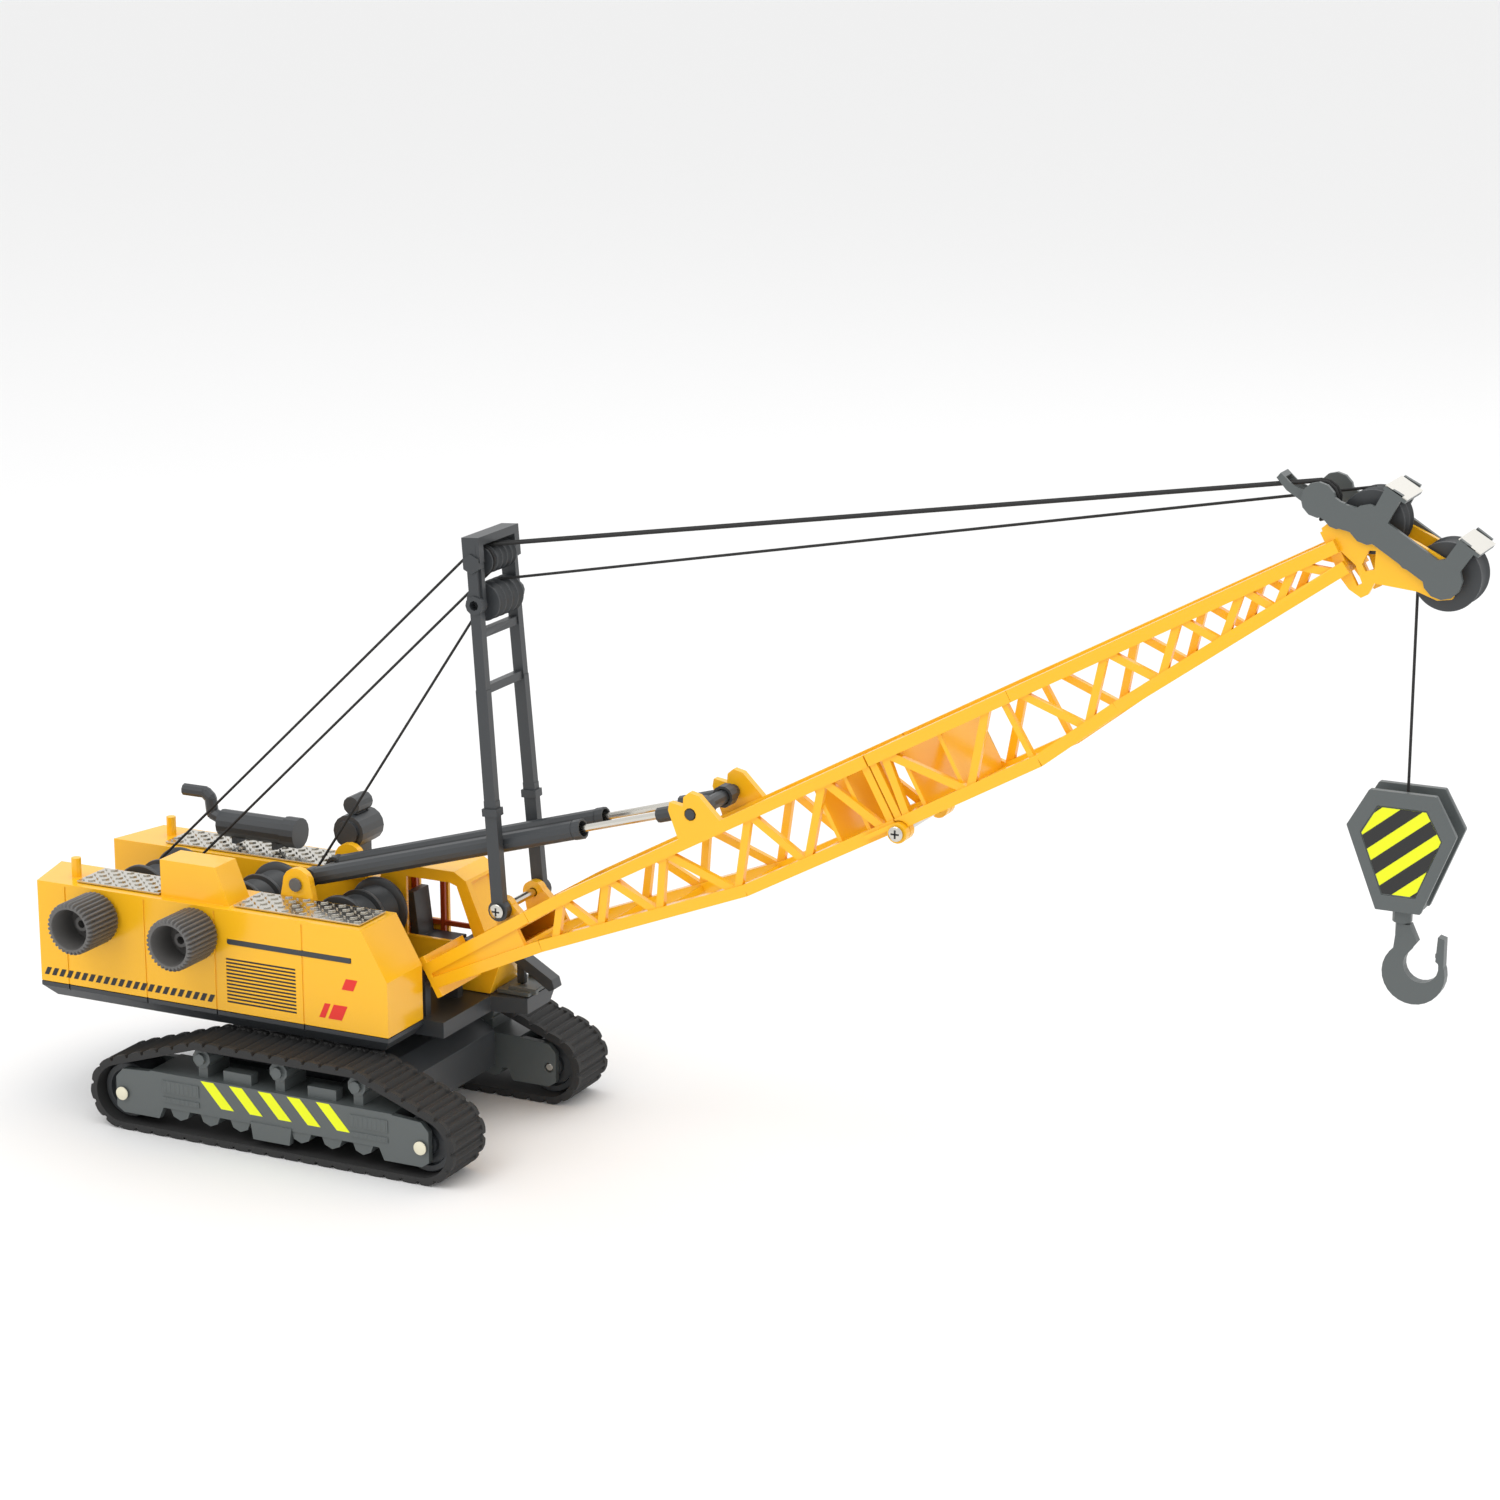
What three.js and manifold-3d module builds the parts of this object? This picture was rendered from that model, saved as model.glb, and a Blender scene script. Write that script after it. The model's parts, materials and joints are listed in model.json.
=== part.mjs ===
// Toy lattice-boom crawler crane: named pieces nested in groups at their real pivots.
// Millimetres. +X is forward, +Y is to the crane's left, +Z is up. The slewing axis is x = y = 0
// while the pieces are made, and the whole crane is centred on its own box at the end.
import * as THREE from "three";
import { mergeVertices } from "three/addons/utils/BufferGeometryUtils.js";
import Module from "manifold-3d";

const wasm = await Module();
wasm.setup();

// ---------------------------------------------------------------- sizes
const gap = 0.3; // air between pieces that meet
const runFit = 0.3; // radial clearance of a turning pin in its bore

// tracks
const wheelBase = 127; // between the two wheel axles of one track
const trackOuter = 57.5; // outer face of a belt from the middle plane
const beltWidth = 23;
const axleHeight = 14; // also the outer radius of the belt on its cleats
const cleatHeight = 1;
const cleatCount = 48;
const beltThickness = 2;
const beltTop = 38; // smooth top of the raised upper run
const topRollerRadius = 3.8;
const topRollerX = [-30, 3, 36];
const topRollerHeight = beltTop - beltThickness - topRollerRadius - 0.4;
const wheelRadius = axleHeight - cleatHeight - beltThickness - 0.5;
const axleRadius = 1.6;

// house
const deckBottom = 40;
const deckTop = 46;
const houseHalfWidth = 41;
const houseRear = -109.5;
const houseRearInner = -116;
const houseFront = 41.5;
const houseTop = 85.2;
const noseTopX = 31.2;
const noseKneeHeight = 67;
const channelHalfWidth = 16.8; // open channel between the two housings
const wall = 1.8;

// winches
const knobX = [-82, -38.5];
const drumX = 5.5;
const winchHeight = houseTop - 10.2;
const knobRadius = 10;
const knobFace = 60; // open end of a knob from the middle plane
const knobRibs = 20;
const shaftRadius = 2.8;
const drumRadius = 12;
const woundRadius = 9.4; // rope wound on a drum

// boom, measured along its own axis from the foot pin
const footPin = [36, 58];
const boomAngle = 28.8;
const footHalfWidth = 14;
const boomHalfWidth = 18.5;
const tipHalfWidth = 10.5;
const chordSize = 4.2;
const flareEnd = 60; // where the lower boom reaches its full width
const narrowStart = 268; // where the upper boom starts to narrow
const foldX = 210;
const foldDrop = 20.2; // fold hinge below the boom axis
const latticeEnd = 389;
const topChordHeight = 6;
const foldBoss = 3.6;
const foldPinRadius = 1.5;

// mast, on the lower boom
const mastFoot = [48.6, 11.4];
const mastLean = 94.2; // direction of the mast at rest, from +X
const mastHeight = 134.5;
const mastFootFace = 16.3;
const mastTopFace = 14.2;
const mastLegThickness = 3.3;
const bigSheaveHeight = 110.5;
const smallSheaveHeight = 125.2;

// luffing cylinders
const cylinderPin = [-9.6, houseTop + 5.8];
const rodPin = [139.3, 14.2];
const barrelRadius = 3.45;
const cylinderY = 12.05 - barrelRadius;
const barrelBore = 2.85;
const barrelLength = 118.3;
const rodRadius = 1.35;
const rodInside = 24;
const rodEndLength = 14;

// boom head, in the boom's own frame
const rearLobe = [390.3, 21.5];
const guideLobe = [393.8, 14.8];
const midLobe = [401.6, 8];
const lowLobe = [409.4, -6.5];
const tipLobe = [415.6, -17];
const rearSheaveRadius = 5.4;
const rearSheaveY = -5.2; // the small double sheave sits beside the hoist rope
const midSheaveRadius = 10.4;
const tipSheaveRadius = 11.2;
const headPlateFace = 10.1;
const headPlateThickness = 1.6;

// hook
const ropeRadius = 0.5;
const pendantRadius = 0.6;
const blockTop = 172.6;
const blockHeight = 39.4;
const blockHalfDepth = 6.4;

// ---------------------------------------------------------------- materials
function plastic(colour, roughness) {
  return new THREE.MeshStandardMaterial({ color: colour, roughness, metalness: 0 });
}
const yellow = plastic(0xf5a800, 0.3);
const trackGrey = plastic(0x54595a, 0.5);
const knobGrey = plastic(0x5c5b59, 0.55);
const black = plastic(0x33373a, 0.4);
const rubber = plastic(0x232323, 0.8);
const rope = plastic(0x1d1c1b, 0.9);
const steel = new THREE.MeshStandardMaterial({ color: 0xcfccc4, roughness: 0.25, metalness: 1 });

// ---------------------------------------------------------------- solid helpers
function solid(geometry) {
  const bare = new THREE.BufferGeometry();
  bare.setAttribute("position", geometry.getAttribute("position"));
  if (geometry.index) bare.setIndex(geometry.index);
  const merged = mergeVertices(bare, 1e-4);
  const mesh = new wasm.Mesh({
    numProp: 3,
    vertProperties: new Float32Array(merged.getAttribute("position").array),
    triVerts: new Uint32Array(merged.index.array),
  });
  return new wasm.Manifold(mesh);
}

function join(solids) {
  return solids.reduce((sum, next) => sum.add(next));
}

function cut(body, tools) {
  return tools.reduce((rest, tool) => rest.subtract(tool), body);
}

function box(x0, x1, y0, y1, z0, z1) {
  const shape = new THREE.BoxGeometry(x1 - x0, y1 - y0, z1 - z0);
  shape.translate((x0 + x1) / 2, (y0 + y1) / 2, (z0 + z1) / 2);
  return solid(shape);
}

// round bar along Y, centred on (x, z)
function barY(radius, y0, y1, x, z, sides = 14) {
  const shape = new THREE.CylinderGeometry(radius, radius, y1 - y0, sides);
  shape.translate(x, (y0 + y1) / 2, z);
  return solid(shape);
}

// round bar along Z
function barZ(radius, z0, z1, x, y, sides = 16, topRadius = radius) {
  const shape = new THREE.CylinderGeometry(topRadius, radius, z1 - z0, sides);
  shape.rotateX(Math.PI / 2);
  shape.translate(x, y, (z0 + z1) / 2);
  return solid(shape);
}

function frameAlong(from, to) {
  const along = new THREE.Vector3().subVectors(to, from).normalize();
  const sideways = new THREE.Vector3(0, 1, 0);
  sideways.addScaledVector(along, -along.y);
  if (sideways.length() < 0.1) sideways.set(1, 0, 0);
  sideways.normalize();
  const across = new THREE.Vector3().crossVectors(along, sideways);
  const place = new THREE.Matrix4().makeBasis(along, sideways, across);
  place.setPosition(new THREE.Vector3().addVectors(from, to).multiplyScalar(0.5));
  return place;
}

// flat bar between two points: width across the bar, thickness towards Y
function strut(a, b, width, thickness) {
  const from = new THREE.Vector3(...a);
  const to = new THREE.Vector3(...b);
  const shape = new THREE.BoxGeometry(from.distanceTo(to), thickness, width);
  shape.applyMatrix4(frameAlong(from, to));
  return solid(shape);
}

// round bar between two points
function roundStrut(a, b, radius, sides) {
  const from = new THREE.Vector3(...a);
  const to = new THREE.Vector3(...b);
  const shape = new THREE.CylinderGeometry(radius, radius, from.distanceTo(to), sides);
  shape.rotateZ(-Math.PI / 2);
  if (sides === 8) shape.rotateX(Math.PI / 8);
  shape.applyMatrix4(frameAlong(from, to));
  return solid(shape);
}

function shapeOf(points) {
  return new THREE.Shape(points.map(([u, v]) => new THREE.Vector2(u, v)));
}

// outline in the XZ plane, as thick as y0..y1
function plateXZ(points, y0, y1, holes = []) {
  const options = { depth: y1 - y0, bevelEnabled: false };
  const shape = new THREE.ExtrudeGeometry(shapeOf(points), options);
  shape.rotateX(Math.PI / 2);
  shape.translate(0, y1, 0);
  return cut(solid(shape), holes.map((hole) => plateXZ(hole, y0 - 1, y1 + 1)));
}

// outline in the XY plane, as tall as z0..z1
function plateXY(points, z0, z1) {
  const options = { depth: z1 - z0, bevelEnabled: false };
  const shape = new THREE.ExtrudeGeometry(shapeOf(points), options);
  shape.translate(0, 0, z0);
  return solid(shape);
}

// turned piece about a line along Y: profile of [radius, y] from axis to axis
function turnedY(profile, x, z, sides) {
  const points = profile.map(([radius, y]) => new THREE.Vector2(radius, y));
  const shape = new THREE.LatheGeometry(points, sides);
  shape.translate(x, 0, z);
  return solid(shape);
}

function bothSides(make) {
  return [make(-1), make(1)];
}

function spanY(side, inner, outer) {
  return side < 0 ? [-outer, -inner] : [inner, outer];
}

// rope whose middle line joins the given points, with one ring of eight corners at each point
function ropeAlong(points, radius) {
  const line = points.map((p) => new THREE.Vector3(...p));
  const last = line.length - 1;
  const normal = new THREE.Vector3(0, 1, 0);
  const rings = line.map((point, i) => {
    const before = line[Math.max(0, i - 1)];
    const after = line[Math.min(last, i + 1)];
    const along = new THREE.Vector3().subVectors(after, before).normalize();
    normal.addScaledVector(along, -normal.dot(along)).normalize();
    const across = new THREE.Vector3().crossVectors(along, normal);
    return [0, 1, 2, 3, 4, 5, 6, 7].map((k) => {
      const turn = (k / 8) * 2 * Math.PI;
      return point.clone()
        .addScaledVector(normal, radius * Math.cos(turn))
        .addScaledVector(across, radius * Math.sin(turn));
    });
  });
  const corners = [];
  for (let i = 0; i < last; i += 1) {
    for (let k = 0; k < 8; k += 1) {
      const next = (k + 1) % 8;
      corners.push(rings[i][k], rings[i][next], rings[i + 1][next]);
      corners.push(rings[i][k], rings[i + 1][next], rings[i + 1][k]);
    }
  }
  for (let k = 1; k < 7; k += 1) {
    corners.push(rings[0][0], rings[0][k + 1], rings[0][k]);
    corners.push(rings[last][0], rings[last][k], rings[last][k + 1]);
  }
  const shape = new THREE.BufferGeometry();
  shape.setFromPoints(corners);
  return solid(shape);
}

function straightRope(a, b, radius) {
  return roundStrut(a, b, radius, 8);
}

function addPiece(group, name, body, material) {
  const mesh = body.getMesh();
  const geometry = new THREE.BufferGeometry();
  geometry.setAttribute("position", new THREE.BufferAttribute(mesh.vertProperties, 3));
  geometry.setIndex(new THREE.BufferAttribute(mesh.triVerts, 1));
  const piece = new THREE.Mesh(geometry, material);
  piece.name = name;
  group.add(piece);
}

function turned(x, z, degrees) {
  const group = new THREE.Group();
  group.position.set(x, 0, z);
  group.rotation.y = THREE.MathUtils.degToRad(-degrees);
  return group;
}

// ---------------------------------------------------------------- tracks
// closed loop around circles given as [x, z, radius] in anticlockwise order
function loopAround(circles, arcStep) {
  const leaving = circles.map(([x, z, r], i) => {
    const [nx, nz, nr] = circles[(i + 1) % circles.length];
    const apart = Math.hypot(nx - x, nz - z);
    return Math.atan2(nz - z, nx - x) - Math.acos((r - nr) / apart);
  });
  const points = [];
  circles.forEach(([x, z, r], i) => {
    const start = leaving[(i + circles.length - 1) % circles.length];
    let sweep = leaving[i] - start;
    while (sweep < 0) sweep += 2 * Math.PI;
    const steps = Math.max(2, Math.ceil(sweep / arcStep));
    for (let k = 0; k <= steps; k += 1) {
      const angle = start + (sweep * k) / steps;
      points.push([x + r * Math.cos(angle), z + r * Math.sin(angle)]);
    }
  });
  return points;
}

// point at a given distance along a closed loop, with the outward normal
function alongLoop(points, distance) {
  let left = distance;
  for (let i = 0; ; i = (i + 1) % points.length) {
    const [ax, az] = points[i];
    const [bx, bz] = points[(i + 1) % points.length];
    const length = Math.hypot(bx - ax, bz - az);
    if (left <= length) {
      const share = left / length;
      const normal = [(bz - az) / length, (ax - bx) / length];
      return { at: [ax + share * (bx - ax), az + share * (bz - az)], normal };
    }
    left -= length;
  }
}

function loopLength(points) {
  return points.reduce((sum, [x, z], i) => {
    const [nx, nz] = points[(i + 1) % points.length];
    return sum + Math.hypot(nx - x, nz - z);
  }, 0);
}

function beltCircles(inset) {
  const wheel = axleHeight - cleatHeight - inset;
  const roller = topRollerRadius + beltThickness + 0.4 - inset;
  return [
    [-wheelBase / 2, axleHeight, wheel],
    [wheelBase / 2, axleHeight, wheel],
    [topRollerX[2], topRollerHeight, roller],
    [topRollerX[0], topRollerHeight, roller],
  ];
}

function belt(side) {
  const smooth = loopAround(beltCircles(0), 0.1);
  const pitch = loopLength(smooth) / cleatCount;
  const outline = [];
  for (let i = 0; i < cleatCount; i += 1) {
    for (const [share, rise] of [[0, 0], [0.12, 1], [0.55, 1]]) {
      const { at, normal } = alongLoop(smooth, (i + share) * pitch);
      outline.push([at[0] + rise * cleatHeight * normal[0], at[1] + rise * cleatHeight * normal[1]]);
    }
  }
  const inner = loopAround(beltCircles(beltThickness), 0.25);
  const [y0, y1] = spanY(side, trackOuter - beltWidth, trackOuter);
  return plateXZ(outline, y0, y1, [inner]);
}

function frameOutline() {
  const end = wheelBase / 2 + 3;
  return [
    [-end, 8.5], [-end + 3, 6.5], [-48, 6.5], [-46, 11], [46, 11], [48, 6.5], [end - 3, 6.5],
    [end, 8.5], [end, 20], [end - 3, 23.3], [46, 24.5], [-46, 24.5], [-end + 3, 23.3], [-end, 20],
  ];
}

function trackFrame(side) {
  const outerFace = trackOuter - 1.2;
  const plate = 2.6;
  const innerFace = trackOuter - beltWidth + 1.5;
  const parts = [];
  const add = (inner, outer, make) => {
    const [y0, y1] = spanY(side, inner, outer);
    parts.push(make(y0, y1));
  };
  add(outerFace - plate, outerFace, (y0, y1) => plateXZ(frameOutline(), y0, y1));
  add(innerFace, innerFace + plate, (y0, y1) => plateXZ(frameOutline(), y0, y1));
  const beam = wheelBase / 2 - wheelRadius - 1.5;
  add(innerFace, outerFace, (y0, y1) => box(-beam, beam, y0, y1, 11, 24.5));
  for (const x of topRollerX) {
    add(innerFace + 3, outerFace - 3, (y0, y1) => box(x - 2, x + 2, y0, y1, 24, 31));
    add(innerFace + 1, outerFace - 2, (y0, y1) => {
      return barY(topRollerRadius, y0, y1, x, topRollerHeight, 10);
    });
    add(outerFace - 3, outerFace - 0.6, (y0, y1) => barY(2.2, y0, y1, x, topRollerHeight, 8));
  }
  for (let i = 0; i < 7; i += 1) {
    const x = -39 + i * 13;
    add(innerFace + 1, outerFace - 0.5, (y0, y1) => barY(4.4, y0, y1, x, 11.2, 8));
  }
  for (const x of [-15, 21]) {
    add(outerFace - 7, outerFace - 2.5, (y0, y1) => box(x - 6, x + 6, y0, y1, 24, 28.5));
  }
  add(outerFace - 2, outerFace + 0.5, (y0, y1) => {
    return plateXZ([[-8, 12], [-7, 5.5], [8.5, 5.5], [9.5, 12]], y0, y1);
  });
  for (const x of [-38, 42]) {
    add(outerFace - 1, outerFace + 0.4, (y0, y1) => box(x - 7.9, x + 7.9, y0, y1, 17.2, 21.8));
    add(outerFace - 1, outerFace + 0.4, (y0, y1) => box(x - 7.9, x + 7.9, y0, y1, 13.4, 15.4));
  }
  const bores = [-1, 1].map((end) => {
    const [y0, y1] = spanY(side, innerFace - 1, outerFace + 1);
    return barY(axleRadius + gap, y0, y1, (end * wheelBase) / 2, axleHeight, 10);
  });
  return cut(join(parts), bores);
}

function wheel(side, end) {
  const mid = trackOuter - beltWidth / 2;
  const [y0, y1] = spanY(side, mid - 7.2, mid + 6.6);
  const x = (end * wheelBase) / 2;
  const rim = barY(wheelRadius, y0, y1, x, axleHeight, 18);
  const hollow = barY(wheelRadius - 2.5, side < 0 ? y0 - 1 : y1 - 3, side < 0 ? y0 + 3 : y1 + 1, x,
    axleHeight, 16);
  const hub = barY(4, y0, y1, x, axleHeight, 10);
  const bore = barY(axleRadius + runFit, y0 - 1, y1 + 1, x, axleHeight, 10);
  return cut(join([cut(rim, [hollow]), hub]), [bore]);
}

function axle(side, end) {
  const x = (end * wheelBase) / 2;
  const face = trackOuter - 1.2;
  const [y0, y1] = spanY(side, trackOuter - beltWidth + 2, face + 0.5);
  const [h0, h1] = spanY(side, face + gap, face + 1.1);
  return join([barY(axleRadius, y0, y1, x, axleHeight, 10), barY(2.6, h0, h1, x, axleHeight, 12)]);
}

function chassis() {
  const inner = trackOuter - beltWidth + 1.5 - gap;
  const body = plateXZ([[-44, 14], [-38, 10], [38, 10], [44, 14], [44, 28], [36, 33], [-36, 33],
    [-44, 28]], -30, 30);
  const arms = [-27, 27].map((x) => box(x - 11, x + 11, -inner, inner, 12.5, 23.5));
  const seat = barZ(26, 32.5, 36.5, 0, 0, 28);
  const ring = barZ(23, 36, 39.2, 0, 0, 28);
  const king = barZ(7.7, 39, 45.2, 0, 0, 24);
  return join([body, ...arms, seat, ring, king]);
}

// ---------------------------------------------------------------- house
function deckOutline(inset) {
  const half = houseHalfWidth - inset;
  const rear = houseRear + inset;
  const rearInner = houseRearInner + inset;
  const front = houseFront - inset;
  return [
    [rear, -half], [front, -half], [front, -channelHalfWidth], [50, -channelHalfWidth],
    [50, 17], [64, 20], [64, half], [rear, half], [rearInner, channelHalfWidth],
    [rearInner, -channelHalfWidth],
  ];
}

// slab whose lower edge is drawn in, made from two outlines with equal corner counts
function taperedSlab(lower, upper, z0, z1) {
  const corners = lower.length;
  const positions = [];
  const flat = THREE.ShapeUtils.triangulateShape(upper.map(([x, y]) => new THREE.Vector2(x, y)), []);
  const at = (ring, i) => (ring ? [...upper[i % corners], z1] : [...lower[i % corners], z0]);
  for (const [a, b, c] of flat) {
    positions.push(...at(1, a), ...at(1, b), ...at(1, c));
    positions.push(...at(0, a), ...at(0, c), ...at(0, b));
  }
  for (let i = 0; i < corners; i += 1) {
    positions.push(...at(0, i), ...at(0, i + 1), ...at(1, i + 1));
    positions.push(...at(0, i), ...at(1, i + 1), ...at(1, i));
  }
  const shape = new THREE.BufferGeometry();
  shape.setAttribute("position", new THREE.Float32BufferAttribute(positions, 3));
  return solid(shape);
}

function deck() {
  const slab = join([
    taperedSlab(deckOutline(4), deckOutline(0), deckBottom, deckTop - 1.5),
    taperedSlab(deckOutline(0), deckOutline(0), deckTop - 1.6, deckTop),
  ]);
  const [px, pz] = footPin;
  const lugs = bothSides((side) => {
    const [y0, y1] = spanY(side, 9.6, 13.2);
    const lug = join([box(px - 4.5, px + 4.5, y0, y1, deckTop - 1, pz), barY(4.5, y0, y1, px, pz)]);
    return cut(lug, [barY(2.2 + gap, y0 - 1, y1 + 1, px, pz)]);
  });
  const cheeks = [...knobX, drumX].flatMap((x) => bothSides((side) => {
    const [y0, y1] = spanY(side, 14.3, 16.2);
    const cheek = box(x - 4.5, x + 4.5, y0, y1, deckTop - 1, winchHeight + 4.5);
    return cut(cheek, [barY(shaftRadius + runFit, y0 - 1, y1 + 1, x, winchHeight)]);
  }));
  const slots = [-96.9, -61.9, -31.3, 6.2].map((x) => box(x - 0.3, x + 0.3, -42, -40.3, 39, 47));
  return cut(join([slab, ...lugs, ...cheeks]), [barZ(8, 39, 47, 0, 0, 24), ...slots]);
}

function housingProfile(inset) {
  return [
    [houseRearInner - 2, deckTop + gap - (inset ? 2 : 0)],
    [houseFront - inset, deckTop + gap - (inset ? 2 : 0)],
    [houseFront - inset, noseKneeHeight - inset / 2],
    [noseTopX - inset / 2, houseTop - inset],
    [houseRearInner - 2, houseTop - inset],
  ];
}

function housingPlan(side, inset) {
  const outer = side * (houseHalfWidth - inset);
  const inner = side * (channelHalfWidth + inset);
  const points = [
    [houseRear + inset, outer], [60, outer], [60, inner], [houseRearInner + inset, inner],
  ];
  return side > 0 ? points.reverse() : points;
}

function housingShell(side) {
  const [y0, y1] = spanY(side, channelHalfWidth, houseHalfWidth);
  const outside = plateXZ(housingProfile(0), y0, y1)
    .intersect(plateXY(housingPlan(side, 0), 40, 100));
  const inside = plateXZ(housingProfile(wall), y0 + wall, y1 - wall)
    .intersect(plateXY(housingPlan(side, wall), 40, 100));
  return cut(outside, [inside]);
}

// ear that carries the tail of a luffing cylinder
function cylinderEar(side) {
  const [y0, y1] = spanY(side, 16.2, 19.2);
  const [x, z] = cylinderPin;
  const ear = join([
    barY(6, y0, y1, x, z, 16),
    plateXZ([[x - 7.5, houseTop - 1.5], [x + 7.5, houseTop - 1.5], [x + 5.9, z], [x - 5.9, z]],
      y0, y1),
  ]);
  return cut(ear, [barY(1.8 + gap, y0 - 1, y1 + 1, x, z)]);
}

function cylinderCrossPin() {
  const heads = bothSides((side) => {
    const [y0, y1] = spanY(side, 19.2 + gap, 20.6);
    return barY(2.6, y0, y1, ...cylinderPin, 12);
  });
  return join([barY(1.8, -20, 20, ...cylinderPin, 10), ...heads]);
}

function post(side) {
  return barZ(1.9, houseTop - 1, 92.6, -98.8, side * 30.8, 10);
}

function housingRight() {
  const hood = plateXZ([[-56.5, houseTop - 1], [-26.5, houseTop - 1], [-32.5, 99.2],
    [-56.5, 99.2]], -37.5, -24);
  const grooves = [-96.9, -61.9, -31.3, 6.2].map((x) => box(x - 0.35, x + 0.35, -42, -40.6, 46, 84));
  const slot = box(-26, 26.8, -42, -40.4, 72.2, 74.2);
  const bores = knobX.map((x) => barY(shaftRadius + 0.5, -43, -15, x, winchHeight));
  const louvres = [];
  for (let i = 0; i < 13; i += 1) {
    louvres.push(box(-26.8, 3, -42, -40.5, 49.8 + i * 1.36, 50.5 + i * 1.36));
  }
  const body = join([housingShell(-1), hood, cylinderEar(-1), post(-1)]);
  return cut(body, [...grooves, slot, ...bores, ...louvres]);
}

function housingLeft() {
  const noCab = box(2.4, 60, 16, 42, 45, 96);
  const body = cut(housingShell(1), [noCab]);
  const closing = box(0.8, 2.3, channelHalfWidth, houseHalfWidth, deckTop + gap, houseTop);
  return join([body, closing, cylinderEar(1), post(1)]);
}

// chrome-look tread plate with rows of raised studs
function treadPlate(x0, x1, y0, y1) {
  const z = houseTop + gap;
  const parts = [box(x0, x1, y0, y1, z, z + 0.7)];
  const rows = 3;
  const columns = Math.round((x1 - x0) / 8);
  for (let i = 0; i < columns; i += 1) {
    for (let j = 0; j < rows; j += 1) {
      const x = x0 + ((i + 0.5) * (x1 - x0)) / columns;
      const y = y0 + ((j + 0.5) * (y1 - y0)) / rows;
      const stud = new THREE.ConeGeometry(1.1, 1, 4);
      stud.rotateX(Math.PI / 2);
      stud.translate(x, y, z + 1);
      parts.push(solid(stud));
    }
  }
  return join(parts);
}

function muffler() {
  const y = 28;
  const z = 94.3;
  const barX = (radius, x0, x1, sides) => roundStrut([x0, y, z], [x1, y, z], radius, sides);
  const saddle = (x) => box(x - 1.2, x + 1.2, y - 3, y + 3, houseTop + gap + 1.9, z);
  const pipe = [[-71, y, z + 0.5], [-77.5, y, z + 3], [-78.2, y, z + 9], [-80.5, y, z + 11],
    [-90, y, z + 11]];
  const bends = [];
  for (let i = 1; i < pipe.length; i += 1) {
    bends.push(roundStrut(pipe[i - 1], pipe[i], 2.4, 10));
    const ball = new THREE.SphereGeometry(2.4, 8, 4);
    ball.translate(...pipe[i]);
    if (i < pipe.length - 1) bends.push(solid(ball));
  }
  const mouth = roundStrut([-91, y, z + 11], [-84, y, z + 11], 1.7, 8);
  return cut(join([barX(5.2, -73, -41, 16), barX(5.9, -44, -38, 16), ...bends, saddle(-66),
    saddle(-48)]), [mouth]);
}

function airCleaner() {
  const x = -12;
  const y = 28;
  return join([
    box(x - 3, x + 3, y - 4, y + 4, houseTop + gap, 96),
    barY(6.5, y - 7.5, y + 7.5, x, 100, 16),
    barY(4.6, y - 8.6, y + 8.6, x, 100, 12),
    box(x - 1.5, x + 1.5, y - 3, y + 3, 105, 109),
    barY(3.5, y - 5, y + 5, x, 109.6, 12),
  ]);
}

function cab() {
  const side = [[3, deckTop + gap], [49, deckTop + gap], [53, 57], [49.5, 64.5], [39.6, 88.4],
    [34.6, 91.4], [3, 91.4]];
  const lining = [[4.6, 40], [47.6, 40], [51, 57.4], [47.9, 64], [38.2, 87.5], [34.1, 89.8],
    [4.6, 89.8]];
  const shell = cut(plateXZ(side, 18.4, houseHalfWidth), [plateXZ(lining, 20, 39.4)]);
  const sideWindow = [[14, 64.5], [43.5, 64.5], [35.6, 86], [32.5, 87], [14, 87]];
  const windows = [
    plateXZ(sideWindow, 17, 21),
    plateXZ([[7, 64.5], [17, 64.5], [17, 87], [7, 87]], 38, 43),
    plateXZ([[19.5, 58], [29.5, 58], [29.5, 87], [19.5, 87]], 38, 43),
    plateXZ([[32, 64.5], [43.5, 64.5], [35.6, 86], [32, 87]], 38, 43),
    plateXZ([[47.6, 66.5], [56, 66.5], [45.6, 87.2], [38.4, 87.2]], 21.8, 37.6),
    box(1, 7, 22, 37.4, 64.5, 87),
  ];
  return cut(shell, windows);
}

function seat() {
  return join([
    box(16, 26, 26, 34, deckTop + gap, 58),
    box(13, 29, 23.5, 36.5, 57, 61.5),
    plateXZ([[12, 61], [15.5, 61], [13.4, 79], [10.4, 79]], 24.5, 35.5),
    box(33, 38, 26, 34, deckTop + gap, 63),
    box(16, 38, 27, 33, deckTop + gap, 49),
  ]);
}

function walkway() {
  const frame = box(50.4, 64, 21, 40.6, deckTop + gap, deckTop + 1.8);
  const rails = [23.2, 38.4].map((y) => box(54.5, 66.5, y - 1, y + 1, deckTop + 1, deckTop + 3.2));
  return join([frame, ...rails]);
}

function bumperArm() {
  return join([
    plateXZ([[54.2, 57], [56.2, 60.4], [70.4, 52], [71.4, 48.6], [69.2, 47.4]], 27, 33),
    plateXZ([[54.6, 57], [57.6, 58.5], [57.8, deckTop + 2.1], [54.6, deckTop + 2.1]], 29, 31),
  ]);
}

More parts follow.
